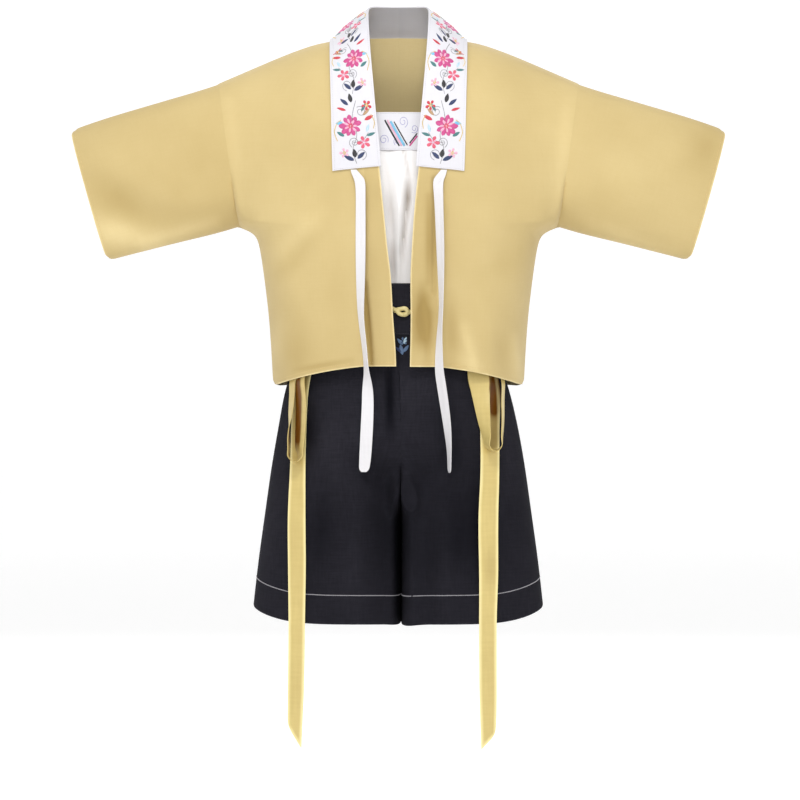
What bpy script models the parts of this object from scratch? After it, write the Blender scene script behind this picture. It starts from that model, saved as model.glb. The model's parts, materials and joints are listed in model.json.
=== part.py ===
"""Hanfu set: open jacket with a turned-up collar, gathered camisole, wide shorts and ribbons.

Metres, +Z up. The front faces -Y and the wearer's left is +X. The origin is the centre of the
neck's base, where the wearer's shoulders hold the jacket. Every cloth panel is a wall lofted
through rows worked out from the garment's sizes, and neighbours are a seam apart.
"""
import math
from collections import namedtuple

import bmesh
import bpy
import numpy as np
from mathutils import Vector
from mathutils.bvhtree import BVHTree

# Walls and gaps
JACKET_CLOTH = 0.002
COLLAR_CLOTH = 0.0022
SHORTS_CLOTH = 0.002
FINE_CLOTH = 0.001
RIBBON = 0.001
SEAM = 0.0004
LIE = 0.0004

# Jacket
UNDERARM_Z = -0.2635
UNDERARM_X = 0.238
ARMHOLE_TOP_X = 0.2685
ARMHOLE_TOP_Z = -0.047
ARMHOLE_DEPTH_FRONT = 0.060
ARMHOLE_DEPTH_BACK = 0.056
SHOULDER_ROUND = 0.110
FRONT_HEM_Z = -0.471
SIDE_HEM_Z = -0.501
BACK_HEM_Z = -0.492
BODY_POWER = 2.5
CHEST_POWER = 1.6
EDGE_POWER = 12
ARMHOLE_POWER = 0.85
ARM_BLEND_START = 0.40
BAND_TOP_ROW = 6
PROBE = 0.0008
SEAM_ACROSS = 0.2
BACK_LOW_SHARE = 0.86
NECK_CURVE_END = 0.3
NECK_CURVE_LOSS = 0.2
FOLD_EDGE = (0.80, 0.99)
FOLD_TOP = (0.02, 0.20)
FOLD_END = 0.35

# Shorts and waist
CENTRE_X = 0.004
WAIST_TOP_Z = -0.351
WAIST_LOW_Z = -0.427
RISE_START_Z = -0.575
CROTCH_Z = -0.690
GAP_OPEN_Z = (-0.635, -0.700)
SHORTS_FOLD_DEPTH = 0.06
SHORTS_FOLD_TOP = 0.03
HEM_BACK_LIFT = 0.002
LEG_LEAN = {"right": 0.0029, "left": -0.0058}
LEG_LEAN_Z = (-0.430, -0.500)
LEG_GAP = 0.0007
LEG_POWER = 0.8
HEM_OUTER_Z = -0.828
HEM_FRONT_Z = -0.8480
HEM_INNER_Z = -0.8535
BELT_Z = -0.395
BELT_WIDTH = 0.024
LOOP_ROWS = 19
TAIL_ROWS = 22
TIE_ROWS = 23
HEM_CLEAR = 0.004
TIE_SWING = 0.05
TIE_SWING_FALL = (0.02, 0.08)
KNOT_X = 0.110
KNOT_Z = -0.3984
KNOT_SIZE = Vector((0.0080, 0.0070, 0.0090))

# Camisole
CAMISOLE_TOP_Z = -0.101
CAMISOLE_BAND_Z = -0.157
GATHERS = 28
GATHER_DEPTH = 0.0042
GATHER_DRIFT = 1.3
GATHER_UNEVEN = 0.28
GATHER_EASING = 0.45
GATHER_FALL = (0.03, 0.14)
GATHER_SIDE = 4

ShoulderPoint = namedtuple("ShoulderPoint", "x z")
SHOULDER = [
    ShoulderPoint(0.000, 0.022), ShoulderPoint(0.092, 0.017), ShoulderPoint(0.121, 0.012),
    ShoulderPoint(0.157, 0.000), ShoulderPoint(0.187, -0.012), ShoulderPoint(0.222, -0.027),
    ShoulderPoint(ARMHOLE_TOP_X, ARMHOLE_TOP_Z),
]

BodyLevel = namedtuple("BodyLevel", "z width soft_width front back")
BODY = [
    BodyLevel(0.020, 0.300, 0.300, 0.098, 0.086),
    BodyLevel(-0.060, 0.280, 0.280, 0.106, 0.091),
    BodyLevel(-0.110, 0.262, 0.268, 0.112, 0.095),
    BodyLevel(-0.170, 0.248, 0.258, 0.120, 0.099),
    BodyLevel(-0.2635, 0.238, 0.250, 0.125, 0.102),
    BodyLevel(-0.268, 0.2250, 0.247, 0.125, 0.102),
    BodyLevel(-0.273, 0.2155, 0.243, 0.125, 0.102),
    BodyLevel(-0.285, 0.2100, 0.237, 0.125, 0.102),
    BodyLevel(-0.300, 0.2070, 0.230, 0.124, 0.102),
    BodyLevel(-0.342, 0.2010, 0.214, 0.123, 0.101),
    BodyLevel(-0.402, 0.1940, 0.200, 0.121, 0.100),
    BodyLevel(-0.462, 0.1900, 0.193, 0.119, 0.100),
    BodyLevel(-0.505, 0.1878, 0.190, 0.118, 0.100),
]
BODY_STEPS = (0.035, 0.085, 0.16, 0.26, 0.38, 0.51, 0.64, 0.77, 0.89, 1.0)
ARMHOLE_STEPS = 10
FRONT_COLUMNS = 10
NECK_COLUMNS = 4

NeckPoint = namedtuple("NeckPoint", "x y z")
NECK_SEAM = [
    NeckPoint(0.000, 0.0860, 0.032), NeckPoint(0.030, 0.0820, 0.031),
    NeckPoint(0.056, 0.0680, 0.029), NeckPoint(0.078, 0.0420, 0.024),
    NeckPoint(0.092, 0.0000, 0.017),
]

FrontEdge = namedtuple("FrontEdge", "z opening seam")
FRONT_EDGES = {
    "right": [
        FrontEdge(0.017, 0.033, 0.0920), FrontEdge(-0.050, 0.033, 0.0820),
        FrontEdge(-0.110, 0.033, 0.0660), FrontEdge(-0.150, 0.031, 0.0494),
        FrontEdge(-0.193, 0.0269, 0.0494), FrontEdge(-0.251, 0.0210, 0.0494),
        FrontEdge(-0.298, 0.0165, 0.0494), FrontEdge(-0.345, 0.0108, 0.0494),
        FrontEdge(-0.403, 0.0079, 0.0494), FrontEdge(-0.461, 0.0036, 0.0494),
        FrontEdge(-0.505, 0.0030, 0.0494),
    ],
    "left": [
        FrontEdge(0.017, 0.034, 0.0920), FrontEdge(-0.050, 0.034, 0.0840),
        FrontEdge(-0.110, 0.034, 0.0700), FrontEdge(-0.150, 0.0325, 0.0561),
        FrontEdge(-0.193, 0.0284, 0.0561), FrontEdge(-0.251, 0.0226, 0.0561),
        FrontEdge(-0.298, 0.0197, 0.0561), FrontEdge(-0.345, 0.0175, 0.0561),
        FrontEdge(-0.403, 0.0183, 0.0561), FrontEdge(-0.461, 0.0170, 0.0561),
        FrontEdge(-0.505, 0.0165, 0.0561),
    ],
}
BAND_STEPS = (0.0, 0.36, 0.72, 1.0)

SleeveRing = namedtuple("SleeveRing", "top_x top_z low_x low_z front back")
SLEEVE = [
    SleeveRing(ARMHOLE_TOP_X, ARMHOLE_TOP_Z, UNDERARM_X, UNDERARM_Z,
               ARMHOLE_DEPTH_FRONT, ARMHOLE_DEPTH_BACK),
    SleeveRing(0.3020, -0.0580, 0.269, -0.2730, 0.0575, 0.0540),
    SleeveRing(0.3400, -0.0688, 0.302, -0.2810, 0.0540, 0.0510),
    SleeveRing(0.3780, -0.0800, 0.336, -0.2890, 0.0500, 0.0475),
    SleeveRing(0.4160, -0.0910, 0.371, -0.2980, 0.0460, 0.0445),
    SleeveRing(0.4540, -0.1029, 0.405, -0.3065, 0.0425, 0.0415),
    SleeveRing(0.4910, -0.1163, 0.4355, -0.3145, 0.0400, 0.0390),
]

Fold = namedtuple("Fold", "x1 z1 x2 z2 width depth")
FRONT_FOLDS = {
    "right": [
        Fold(0.046, -0.310, 0.044, -0.500, 0.012, -0.0050),
        Fold(0.115, -0.200, 0.085, -0.330, 0.026, -0.0045),
        Fold(0.150, -0.330, 0.165, -0.520, 0.020, 0.0045),
        Fold(0.190, -0.235, 0.120, -0.360, 0.020, -0.0050),
        Fold(0.190, -0.110, 0.130, -0.190, 0.026, -0.0040),
    ],
    "left": [
        Fold(0.050, -0.190, 0.048, -0.420, 0.010, -0.0040),
        Fold(0.036, -0.330, 0.040, -0.460, 0.016, -0.0050),
        Fold(0.098, -0.350, 0.082, -0.500, 0.022, -0.0055),
        Fold(0.128, -0.370, 0.140, -0.520, 0.018, 0.0055),
        Fold(0.190, -0.235, 0.135, -0.340, 0.020, -0.0050),
        Fold(0.200, -0.120, 0.140, -0.200, 0.026, -0.0040),
    ],
}
BACK_FOLDS = [
    Fold(0.180, -0.240, 0.110, -0.380, 0.024, -0.0055),
    Fold(0.070, -0.300, 0.060, -0.500, 0.026, 0.0050),
    Fold(0.130, -0.360, 0.145, -0.510, 0.020, 0.0050),
    Fold(0.200, -0.110, 0.110, -0.150, 0.026, -0.0045),
]
SLEEVE_FOLDS = {
    "right": [
        Fold(0.480, -0.135, 0.400, -0.190, 0.024, -0.0130),
        Fold(0.400, -0.190, 0.325, -0.228, 0.022, -0.0120),
        Fold(0.325, -0.228, 0.275, -0.240, 0.016, -0.0070),
    ],
    "left": [
        Fold(0.420, -0.215, 0.320, -0.222, 0.030, -0.0050),
        Fold(0.470, -0.175, 0.400, -0.150, 0.024, -0.0040),
    ],
}
SLEEVE_BACK_FOLDS = [
    Fold(0.450, -0.170, 0.300, -0.225, 0.026, -0.0070),
    Fold(0.400, -0.120, 0.290, -0.130, 0.024, -0.0040),
]

CollarRow = namedtuple("CollarRow", "outer_x outer_y outer_z inner_x inner_y inner_z")
ON_CHEST = None
COLLAR = [
    CollarRow(0.0955, ON_CHEST, -0.1885, 0.0255, ON_CHEST, -0.1820),
    CollarRow(0.0965, ON_CHEST, -0.1650, 0.0268, ON_CHEST, -0.1620),
    CollarRow(0.0972, ON_CHEST, -0.1380, 0.0290, ON_CHEST, -0.1380),
    CollarRow(0.0978, ON_CHEST, -0.1100, 0.0318, ON_CHEST, -0.1120),
    CollarRow(0.0984, ON_CHEST, -0.0820, 0.0345, ON_CHEST, -0.0840),
    CollarRow(0.0992, ON_CHEST, -0.0560, 0.0372, -0.1040, -0.0540),
    CollarRow(0.1002, ON_CHEST, -0.0320, 0.0400, -0.0950, -0.0240),
    CollarRow(0.1010, ON_CHEST, -0.0120, 0.0423, -0.0820, 0.0040),
    CollarRow(0.1016, ON_CHEST, 0.0040, 0.0440, -0.0640, 0.0280),
    CollarRow(0.1018, ON_CHEST, 0.0115, 0.0449, -0.0510, 0.0400),
    CollarRow(0.1016, -0.0060, 0.0205, 0.0455, -0.0350, 0.0515),
    CollarRow(0.1005, 0.0230, 0.0175, 0.0460, -0.0060, 0.0640),
    CollarRow(0.0940, 0.0500, 0.0150, 0.0430, 0.0200, 0.0710),
    CollarRow(0.0740, 0.0720, 0.0150, 0.0360, 0.0360, 0.0738),
    CollarRow(0.0440, 0.0880, 0.0195, 0.0210, 0.0435, 0.0745),
    CollarRow(0.0000, 0.0940, 0.0210, 0.0000, 0.0465, 0.0747),
]
COLLAR_COLUMNS = 5
COLLAR_TURN = 0.16
COLLAR_BOW = 0.0035
COLLAR_SPRING = 0.0012
COLLAR_SPRING_Z = (-0.13, -0.05)
COLLAR_NECK_REACH = 0.1
COLLAR_OVERHANG = 0.004
COLLAR_BOW_ROUND_NECK = 0.9

ShortsLevel = namedtuple("ShortsLevel", "z width front back")
SHORTS = [
    ShortsLevel(-0.351, 0.1300, 0.0950, 0.080),
    ShortsLevel(-0.427, 0.1360, 0.0975, 0.083),
    ShortsLevel(-0.470, 0.1560, 0.1020, 0.092),
    ShortsLevel(-0.507, 0.1690, 0.1060, 0.100),
    ShortsLevel(-0.552, 0.1780, 0.1120, 0.108),
    ShortsLevel(-0.597, 0.1860, 0.1170, 0.115),
    ShortsLevel(-0.642, 0.1930, 0.1210, 0.120),
    ShortsLevel(-0.687, 0.1990, 0.1240, 0.123),
    ShortsLevel(-0.732, 0.2050, 0.1255, 0.125),
    ShortsLevel(-0.777, 0.2110, 0.1265, 0.127),
    ShortsLevel(-0.852, 0.2190, 0.1280, 0.128),
]
SHORTS_STEPS = (0, 0.10, 0.20, 0.29, 0.37, 0.43, 0.475, 0.515, 0.555, 0.595, 0.64, 0.72, 0.81,
                0.91, 1)
SHORTS_COLUMNS = 12
WAIST_COLUMNS = 16
SHORTS_FOLDS = {
    "right": [
        Fold(0.012, -0.430, 0.008, -0.560, 0.014, -0.0070),
        Fold(0.020, -0.640, 0.100, -0.600, 0.020, -0.0040),
        Fold(0.075, -0.640, 0.085, -0.850, 0.030, 0.0050),
        Fold(0.150, -0.560, 0.165, -0.860, 0.024, -0.0060),
    ],
    "left": [
        Fold(0.020, -0.640, 0.110, -0.590, 0.020, -0.0045),
        Fold(0.090, -0.560, 0.070, -0.700, 0.026, -0.0045),
        Fold(0.060, -0.680, 0.070, -0.850, 0.030, 0.0050),
        Fold(0.140, -0.580, 0.160, -0.860, 0.024, -0.0060),
    ],
}
SHORTS_BACK_FOLDS = [
    Fold(0.030, -0.660, 0.110, -0.600, 0.022, -0.0050),
    Fold(0.080, -0.640, 0.090, -0.860, 0.030, 0.0055),
    Fold(0.150, -0.540, 0.165, -0.860, 0.024, -0.0055),
]

CamisoleLevel = namedtuple("CamisoleLevel", "z width front back")
CAMISOLE = [
    CamisoleLevel(-0.101, 0.1340, 0.1010, 0.0780),
    CamisoleLevel(-0.157, 0.1420, 0.1070, 0.0800),
    CamisoleLevel(-0.205, 0.1450, 0.1110, 0.0820),
    CamisoleLevel(-0.265, 0.1390, 0.1050, 0.0810),
    CamisoleLevel(-0.320, 0.1300, 0.0980, 0.0790),
    CamisoleLevel(-0.3505, 0.1268, 0.0918, 0.0768),
    CamisoleLevel(-0.400, 0.1300, 0.0935, 0.0785),
]
CAMISOLE_ROWS = (-0.1574, -0.190, -0.262, -0.348, -0.398)
BAND_COLUMNS = 24

StripRow = namedtuple("StripRow", "z x width turn lift")
TIES = {
    "right": [
        StripRow(-0.1870, 0.0625, 0.014, 0, 0.0020), StripRow(-0.196, 0.0590, 0.015, 0, 0.0032),
        StripRow(-0.207, 0.0555, 0.015, 10, 0.0040), StripRow(-0.228, 0.0548, 0.015, 25, 0.0045),
        StripRow(-0.300, 0.0550, 0.016, 25, 0.0050), StripRow(-0.376, 0.0552, 0.016, 50, 0.0075),
        StripRow(-0.406, 0.0543, 0.016, 62, 0.0085), StripRow(-0.442, 0.0498, 0.016, 66, 0.0088),
        StripRow(-0.474, 0.0471, 0.016, 70, 0.0090), StripRow(-0.498, 0.0452, 0.017, 40, 0.0068),
        StripRow(-0.525, 0.0446, 0.017, 0, 0.0030), StripRow(-0.565, 0.0462, 0.018, 0, 0.0030),
        StripRow(-0.609, 0.0487, 0.017, 0, 0.0030), StripRow(-0.627, 0.0505, 0.014, 0, 0.0030),
    ],
    "left": [
        StripRow(-0.1870, 0.0635, 0.014, 0, 0.0020), StripRow(-0.196, 0.0605, 0.015, 0, 0.0032),
        StripRow(-0.208, 0.0575, 0.015, -15, 0.0045), StripRow(-0.228, 0.0585, 0.015, -35, 0.0058),
        StripRow(-0.315, 0.0612, 0.016, -50, 0.0078), StripRow(-0.376, 0.0622, 0.016, -70, 0.0090),
        StripRow(-0.406, 0.0609, 0.016, -71, 0.0090), StripRow(-0.442, 0.0590, 0.016, -57, 0.0082),
        StripRow(-0.474, 0.0590, 0.016, -44, 0.0072), StripRow(-0.500, 0.0625, 0.016, -36, 0.0062),
        StripRow(-0.555, 0.0705, 0.016, -46, 0.0085), StripRow(-0.597, 0.0740, 0.016, -70, 0.0105),
        StripRow(-0.628, 0.0742, 0.015, -75, 0.0105),
    ],
}

Step = namedtuple("Step", "at value")
LoopRow = namedtuple("LoopRow", "z front_x front_lift rear_x rear_lift")
LOOPS = {
    "right": [
        LoopRow(-0.4078, 0.113, 0.014, 0.117, 0.006), LoopRow(-0.450, 0.130, 0.022, 0.133, 0.007),
        LoopRow(-0.495, 0.156, 0.026, 0.150, 0.007), LoopRow(-0.540, 0.161, 0.030, 0.156, 0.006),
        LoopRow(-0.580, 0.163, 0.032, 0.157, 0.006), LoopRow(-0.603, 0.160, 0.032, 0.155, 0.006),
        LoopRow(-0.613, 0.151, 0.032, 0.150, 0.006), LoopRow(-0.603, 0.142, 0.031, 0.145, 0.006),
        LoopRow(-0.578, 0.138, 0.030, 0.143, 0.006), LoopRow(-0.535, 0.136, 0.026, 0.142, 0.006),
        LoopRow(-0.495, 0.136, 0.017, 0.141, 0.006), LoopRow(-0.450, 0.121, 0.017, 0.126, 0.007),
        LoopRow(-0.4078, 0.106, 0.013, 0.110, 0.006),
    ],
    "left": [
        LoopRow(-0.4078, 0.108, 0.013, 0.102, 0.006), LoopRow(-0.450, 0.124, 0.016, 0.103, 0.006),
        LoopRow(-0.493, 0.131, 0.017, 0.1035, 0.006), LoopRow(-0.530, 0.134, 0.024, 0.1095, 0.006),
        LoopRow(-0.565, 0.134, 0.028, 0.1185, 0.006), LoopRow(-0.588, 0.135, 0.030, 0.1260, 0.006),
        LoopRow(-0.597, 0.142, 0.031, 0.1350, 0.006), LoopRow(-0.588, 0.149, 0.030, 0.145, 0.006),
        LoopRow(-0.560, 0.152, 0.029, 0.147, 0.006), LoopRow(-0.525, 0.152, 0.027, 0.147, 0.006),
        LoopRow(-0.493, 0.151, 0.023, 0.146, 0.006), LoopRow(-0.450, 0.132, 0.020, 0.132, 0.007),
        LoopRow(-0.4078, 0.116, 0.013, 0.116, 0.006),
    ],
}
TAILS = {
    "right": [
        StripRow(-0.4078, 0.1120, 0.012, 0, 0.0028), StripRow(-0.450, 0.1250, 0.018, 0, 0.0028),
        StripRow(-0.500, 0.1410, 0.021, 0, 0.0028), StripRow(-0.560, 0.1450, 0.022, 0, 0.0028),
        StripRow(-0.620, 0.1462, 0.022, 0, 0.0028), StripRow(-0.700, 0.1471, 0.026, 0, 0.0028),
        StripRow(-0.780, 0.1468, 0.025, 0, 0.0028), StripRow(-0.850, 0.1471, 0.0232, 0, 0.0028),
        StripRow(-0.940, 0.1483, 0.0232, 0, 0.0028), StripRow(-1.012, 0.1505, 0.0195, 0, 0.0028),
    ],
    "left": [
        StripRow(-0.4078, 0.1120, 0.012, 0, 0.0028), StripRow(-0.450, 0.1210, 0.020, 0, 0.0028),
        StripRow(-0.500, 0.1290, 0.026, 0, 0.0028), StripRow(-0.560, 0.1325, 0.027, 0, 0.0028),
        StripRow(-0.620, 0.1330, 0.027, 0, 0.0028), StripRow(-0.700, 0.1295, 0.028, 0, 0.0028),
        StripRow(-0.780, 0.1303, 0.027, 0, 0.0028), StripRow(-0.850, 0.1293, 0.0255, 0, 0.0028),
        StripRow(-0.940, 0.1297, 0.0255, 0, 0.0028), StripRow(-1.0185, 0.1305, 0.0215, 0, 0.0028),
    ],
}
TAIL_SLANT = {"right": -0.032, "left": 0.022}

Curl = namedtuple("Curl", "radius x wide z high start turn reach fade lift rise")
CURLS = {
    "right": Curl(0.0027, 0.0052, 0.0080, -0.0005, -0.0054, 0.95, -1.75, -0.0330, 5, 0.0, 0.0035),
    "left": Curl(0.0026, 0.0080, 0.0085, 0.0005, 0.0062, 0.05, 0.60, 0.0190, 6, 0.0140, 0.0),
}
STRAND_POINTS = 17

Finish = namedtuple("Finish", "colour roughness")
FINISHES = {
    "jacket_cloth": Finish((0.745, 0.558, 0.279), 0.85),
    "collar_cloth": Finish((0.720, 0.710, 0.730), 0.80),
    "camisole_cloth": Finish((0.860, 0.840, 0.830), 0.80),
    "shorts_cloth": Finish((0.019, 0.018, 0.024), 0.90),
    "ribbon_satin": Finish((0.640, 0.480, 0.200), 0.40),
}

SIDES = {"right": -1, "left": 1}
parts = bpy.data.collections.new("hanfu")


def between(table, column, at):
    """Value of a table's column at a place on its first column, on a smooth monotone curve."""
    rows = sorted(table, key=lambda row: row[0])
    xs = np.array([row[0] for row in rows])
    ys = np.array([getattr(row, column) for row in rows])
    at = min(max(at, xs[0]), xs[-1])
    slope = np.diff(ys) / np.diff(xs)
    tangent = np.concatenate([slope[:1], (slope[1:] + slope[:-1]) / 2, slope[-1:]])
    for i in range(1, len(slope)):
        if slope[i - 1] * slope[i] <= 0:
            tangent[i] = 0
        else:
            tangent[i] = 2 * slope[i - 1] * slope[i] / (slope[i - 1] + slope[i])
    i = min(int(np.searchsorted(xs, at, side="right")) - 1, len(slope) - 1)
    step = xs[i + 1] - xs[i]
    t = (at - xs[i]) / step
    rise = ys[i] * (2 * t ** 3 - 3 * t ** 2 + 1) + ys[i + 1] * (3 * t ** 2 - 2 * t ** 3)
    lean = tangent[i] * (t ** 3 - 2 * t ** 2 + t) + tangent[i + 1] * (t ** 3 - t ** 2)
    return float(rise + lean * step)


def ease(low, high, at):
    """0 before low, 1 after high, smooth between them."""
    t = min(max((at - low) / (high - low), 0), 1)
    return t * t * (3 - 2 * t)


def fold_height(folds, x, z):
    """How far soft folds lift the cloth at a place, with each one fading towards its ends."""
    height = 0
    for fold in folds:
        run = np.array([fold.x2 - fold.x1, fold.z2 - fold.z1])
        away = np.array([x - fold.x1, z - fold.z1])
        along = float(np.dot(away, run) / np.dot(run, run))
        held = min(max(along, 0), 1)
        distance = float(np.linalg.norm(away - held * run))
        fade = FOLD_END + (1 - FOLD_END) * math.sin(math.pi * held)
        height += fold.depth * fade * math.exp(-(distance / fold.width) ** 2)
    return height


def round_over(drop):
    """Share of the full depth reached this far below the shoulder's ridge."""
    return math.sqrt(1 - (1 - min(max(drop, 0) / SHOULDER_ROUND, 1)) ** 2)


def armhole_share(x, z):
    """How far down the armhole a place is, 0 at the shoulder and 1 at the underarm."""
    top = between(SHOULDER, "z", x)
    return min(max((top - z) / (top - UNDERARM_Z), 0), 1)


def armhole_x(share):
    """How far out the armhole seam is, by share of its height."""
    return ARMHOLE_TOP_X + (UNDERARM_X - ARMHOLE_TOP_X) * share


def armhole_swell(share):
    """Depth of the armhole's oval section, 0 at its top and low point and 1 between."""
    return max(1 - (1 - 2 * share) ** 2, 0) ** (ARMHOLE_POWER / 2)


def side_law(x, width, soft_width):
    """Depth across the body: a broad arch that turns sharply in at the side."""
    arch = (1 - min(x / soft_width, 1) ** BODY_POWER) ** (1 / BODY_POWER)
    return arch * math.sqrt(max(1 - min(x / width, 1) ** EDGE_POWER, 0))


def body_depth(x, z, column, armhole_depth):
    """Depth of the jacket's front or back at a place in the front view."""
    depth = between(BODY, column, z)
    if z <= UNDERARM_Z:
        return depth * side_law(x, between(BODY, "width", z), between(BODY, "soft_width", z))
    share = armhole_share(x, z)
    seam_x = armhole_x(share)
    seam_depth = armhole_depth * armhole_swell(share)
    across = min(x / seam_x, 1)
    hill = 0.5 + 0.5 * math.cos(math.pi * across ** CHEST_POWER)
    arch = side_law(x, seam_x, between(BODY, "soft_width", UNDERARM_Z))
    blend = ease(ARM_BLEND_START, 1, share)
    law = (1 - blend) * hill + blend * arch
    seam_law = (1 - blend) * (1 - hill) + blend * across ** EDGE_POWER
    full = depth * round_over(between(SHOULDER, "z", x) - z)
    return full * law + seam_depth * seam_law


def fold_share(x, z):
    """Folds are full in the middle of a panel and gone at its ridges and seams."""
    if z <= UNDERARM_Z:
        edge = between(BODY, "width", z)
    else:
        edge = armhole_x(armhole_share(x, z))
    return (1 - ease(*FOLD_EDGE, x / edge)) * ease(*FOLD_TOP, armhole_share(x, z))


def front_depth(side, x, z):
    """Depth of the jacket's front with its folds."""
    depth = body_depth(x, z, "front", ARMHOLE_DEPTH_FRONT)
    return depth + fold_height(FRONT_FOLDS[side], x, z) * fold_share(x, z)


def front_point(side, x, z, lift=0.0):
    """A point on the jacket's front, or lifted off it along its normal."""
    depth = front_depth(side, x, z)
    point = np.array([x, -depth, z])
    if lift:
        slopes = [(front_depth(side, x + dx, z + dz) - depth) / PROBE
                  for dx, dz in ((-PROBE, 0), (0, -PROBE))]
        normal = np.array([slopes[0], -1, slopes[1]])
        point += normal / np.linalg.norm(normal) * lift
    point[0] *= SIDES[side]
    return point


def back_point(side, x, z, neck_y=0.0):
    """A point on the jacket's back, which starts behind the neck seam near the centre."""
    depth = body_depth(x, z, "back", ARMHOLE_DEPTH_BACK)
    depth += fold_height(BACK_FOLDS, x, z) * fold_share(x, z) * ease(0.005, 0.04, x)
    return np.array([SIDES[side] * x, max(depth, neck_y), z])


def body_rows():
    """Rows of a body panel: armhole rows by share, then rows down to the hem by share."""
    armhole = [("armhole", (1 - math.cos(math.pi * i / ARMHOLE_STEPS)) / 2)
               for i in range(ARMHOLE_STEPS + 1)]
    return armhole + [("side", step) for step in BODY_STEPS]


def row_place(kind, share, spread, inner_x, hem):
    """The x and z of a point of a row; spread is 0 at inner_x and 1 at the outer edge."""
    bend = math.sin(spread * math.pi / 2)
    if kind == "armhole":
        blend = ease(ARM_BLEND_START, 1, share)
        outer_x = armhole_x(share)
        x = inner_x + (outer_x - inner_x) * ((1 - blend) * spread + blend * bend)
        top = between(SHOULDER, "z", x)
        return x, top + (UNDERARM_Z - top) * share
    z_side = UNDERARM_Z + (SIDE_HEM_Z - UNDERARM_Z) * share
    outer_x = between(BODY, "width", z_side)
    x = inner_x + (outer_x - inner_x) * bend
    return x, UNDERARM_Z + (hem(x / outer_x) - UNDERARM_Z) * share


def front_hem(across):
    """Height of the front hem, lower towards the side."""
    return FRONT_HEM_Z + (SIDE_HEM_Z - FRONT_HEM_Z) * across ** 2


def back_hem(across):
    """Height of the back hem, lower towards the side."""
    return BACK_HEM_Z + (SIDE_HEM_Z - BACK_HEM_Z) * across ** 2


def front_grid(side):
    """Rows of the front panel, from its inner edge to the armhole or side seam."""
    grid = []
    for kind, share in body_rows():
        end = UNDERARM_Z if kind == "armhole" else front_hem(SEAM_ACROSS)
        start = SHOULDER[1].z if kind == "armhole" else UNDERARM_Z
        inner_x = between(FRONT_EDGES[side], "seam", start + (end - start) * share)
        row = []
        for i in range(FRONT_COLUMNS + 1):
            x, z = row_place(kind, share, i / FRONT_COLUMNS, inner_x, front_hem)
            row.append(front_point(side, x, z))
        grid.append(row)
    return np.array(grid)


def band_grid(side, front):
    """Rows of the front band, from the opening to the front panel's edge."""
    grid = []
    for row in front[BAND_TOP_ROW:]:
        seam = row[0]
        opening = between(FRONT_EDGES[side], "opening", float(seam[2]))
        line = []
        for step in BAND_STEPS[:-1]:
            x = opening + (abs(seam[0]) - opening) * step
            z = seam[2]
            if row is front[-1]:
                z = front_hem(x / BODY[-1].width)
            line.append(front_point(side, x, z))
        grid.append(line + [seam])
    return np.array(grid)


def back_grid(side):
    """Rows of the back panel, from the armhole or side seam to the centre back."""
    grid = []
    shoulder_x = SHOULDER[1].x
    for kind, share in body_rows():
        inner_x = shoulder_x
        if kind == "side":
            inner_x = shoulder_x * BACK_LOW_SHARE
        row = []
        for i in range(FRONT_COLUMNS, -1, -1):
            x, z = row_place(kind, share, i / FRONT_COLUMNS, inner_x, back_hem)
            row.append(back_point(side, x, z))
        for i in range(NECK_COLUMNS - 1, -1, -1):
            x = inner_x * i / NECK_COLUMNS
            if kind == "armhole":
                top = between(NECK_SEAM, "z", x)
                z = top + (UNDERARM_Z - top) * share
                neck_y = between(NECK_SEAM, "y", x)
                behind_neck = neck_y * (1 - ease(0, NECK_CURVE_END, share))
                point = back_point(side, x, min(z, between(SHOULDER, "z", x)), behind_neck)
                point[1] = max(point[1], neck_y * (1 - share * NECK_CURVE_LOSS))
                point[2] = z
                row.append(point)
            else:
                z = UNDERARM_Z + (back_hem(x / BODY[-1].width) - UNDERARM_Z) * share
                row.append(back_point(side, x, z))
        grid.append(row)
    return np.array(grid)


def sleeve_grid(side):
    """Rings of the sleeve from the armhole to the cuff, front half first."""
    grid = []
    for ring in SLEEVE:
        top = np.array([ring.top_x, ring.top_z])
        low = np.array([ring.low_x, ring.low_z])
        line = []
        for i in range(2 * ARMHOLE_STEPS + 1):
            angle = math.pi * i / ARMHOLE_STEPS
            share = (1 - math.cos(angle)) / 2
            x, z = top + (low - top) * share
            swell = armhole_swell(share)
            if i <= ARMHOLE_STEPS:
                folds = fold_height(SLEEVE_FOLDS[side], x, z)
                y = -ring.front * swell
            else:
                folds = fold_height(SLEEVE_BACK_FOLDS, x, z)
                y = ring.back * swell
            away = ease(0, 0.03, x - armhole_x(share))
            y += math.copysign(folds * swell * away, y)
            line.append([SIDES[side] * x, y, z])
        grid.append(line)
    return np.array(grid)


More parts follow.
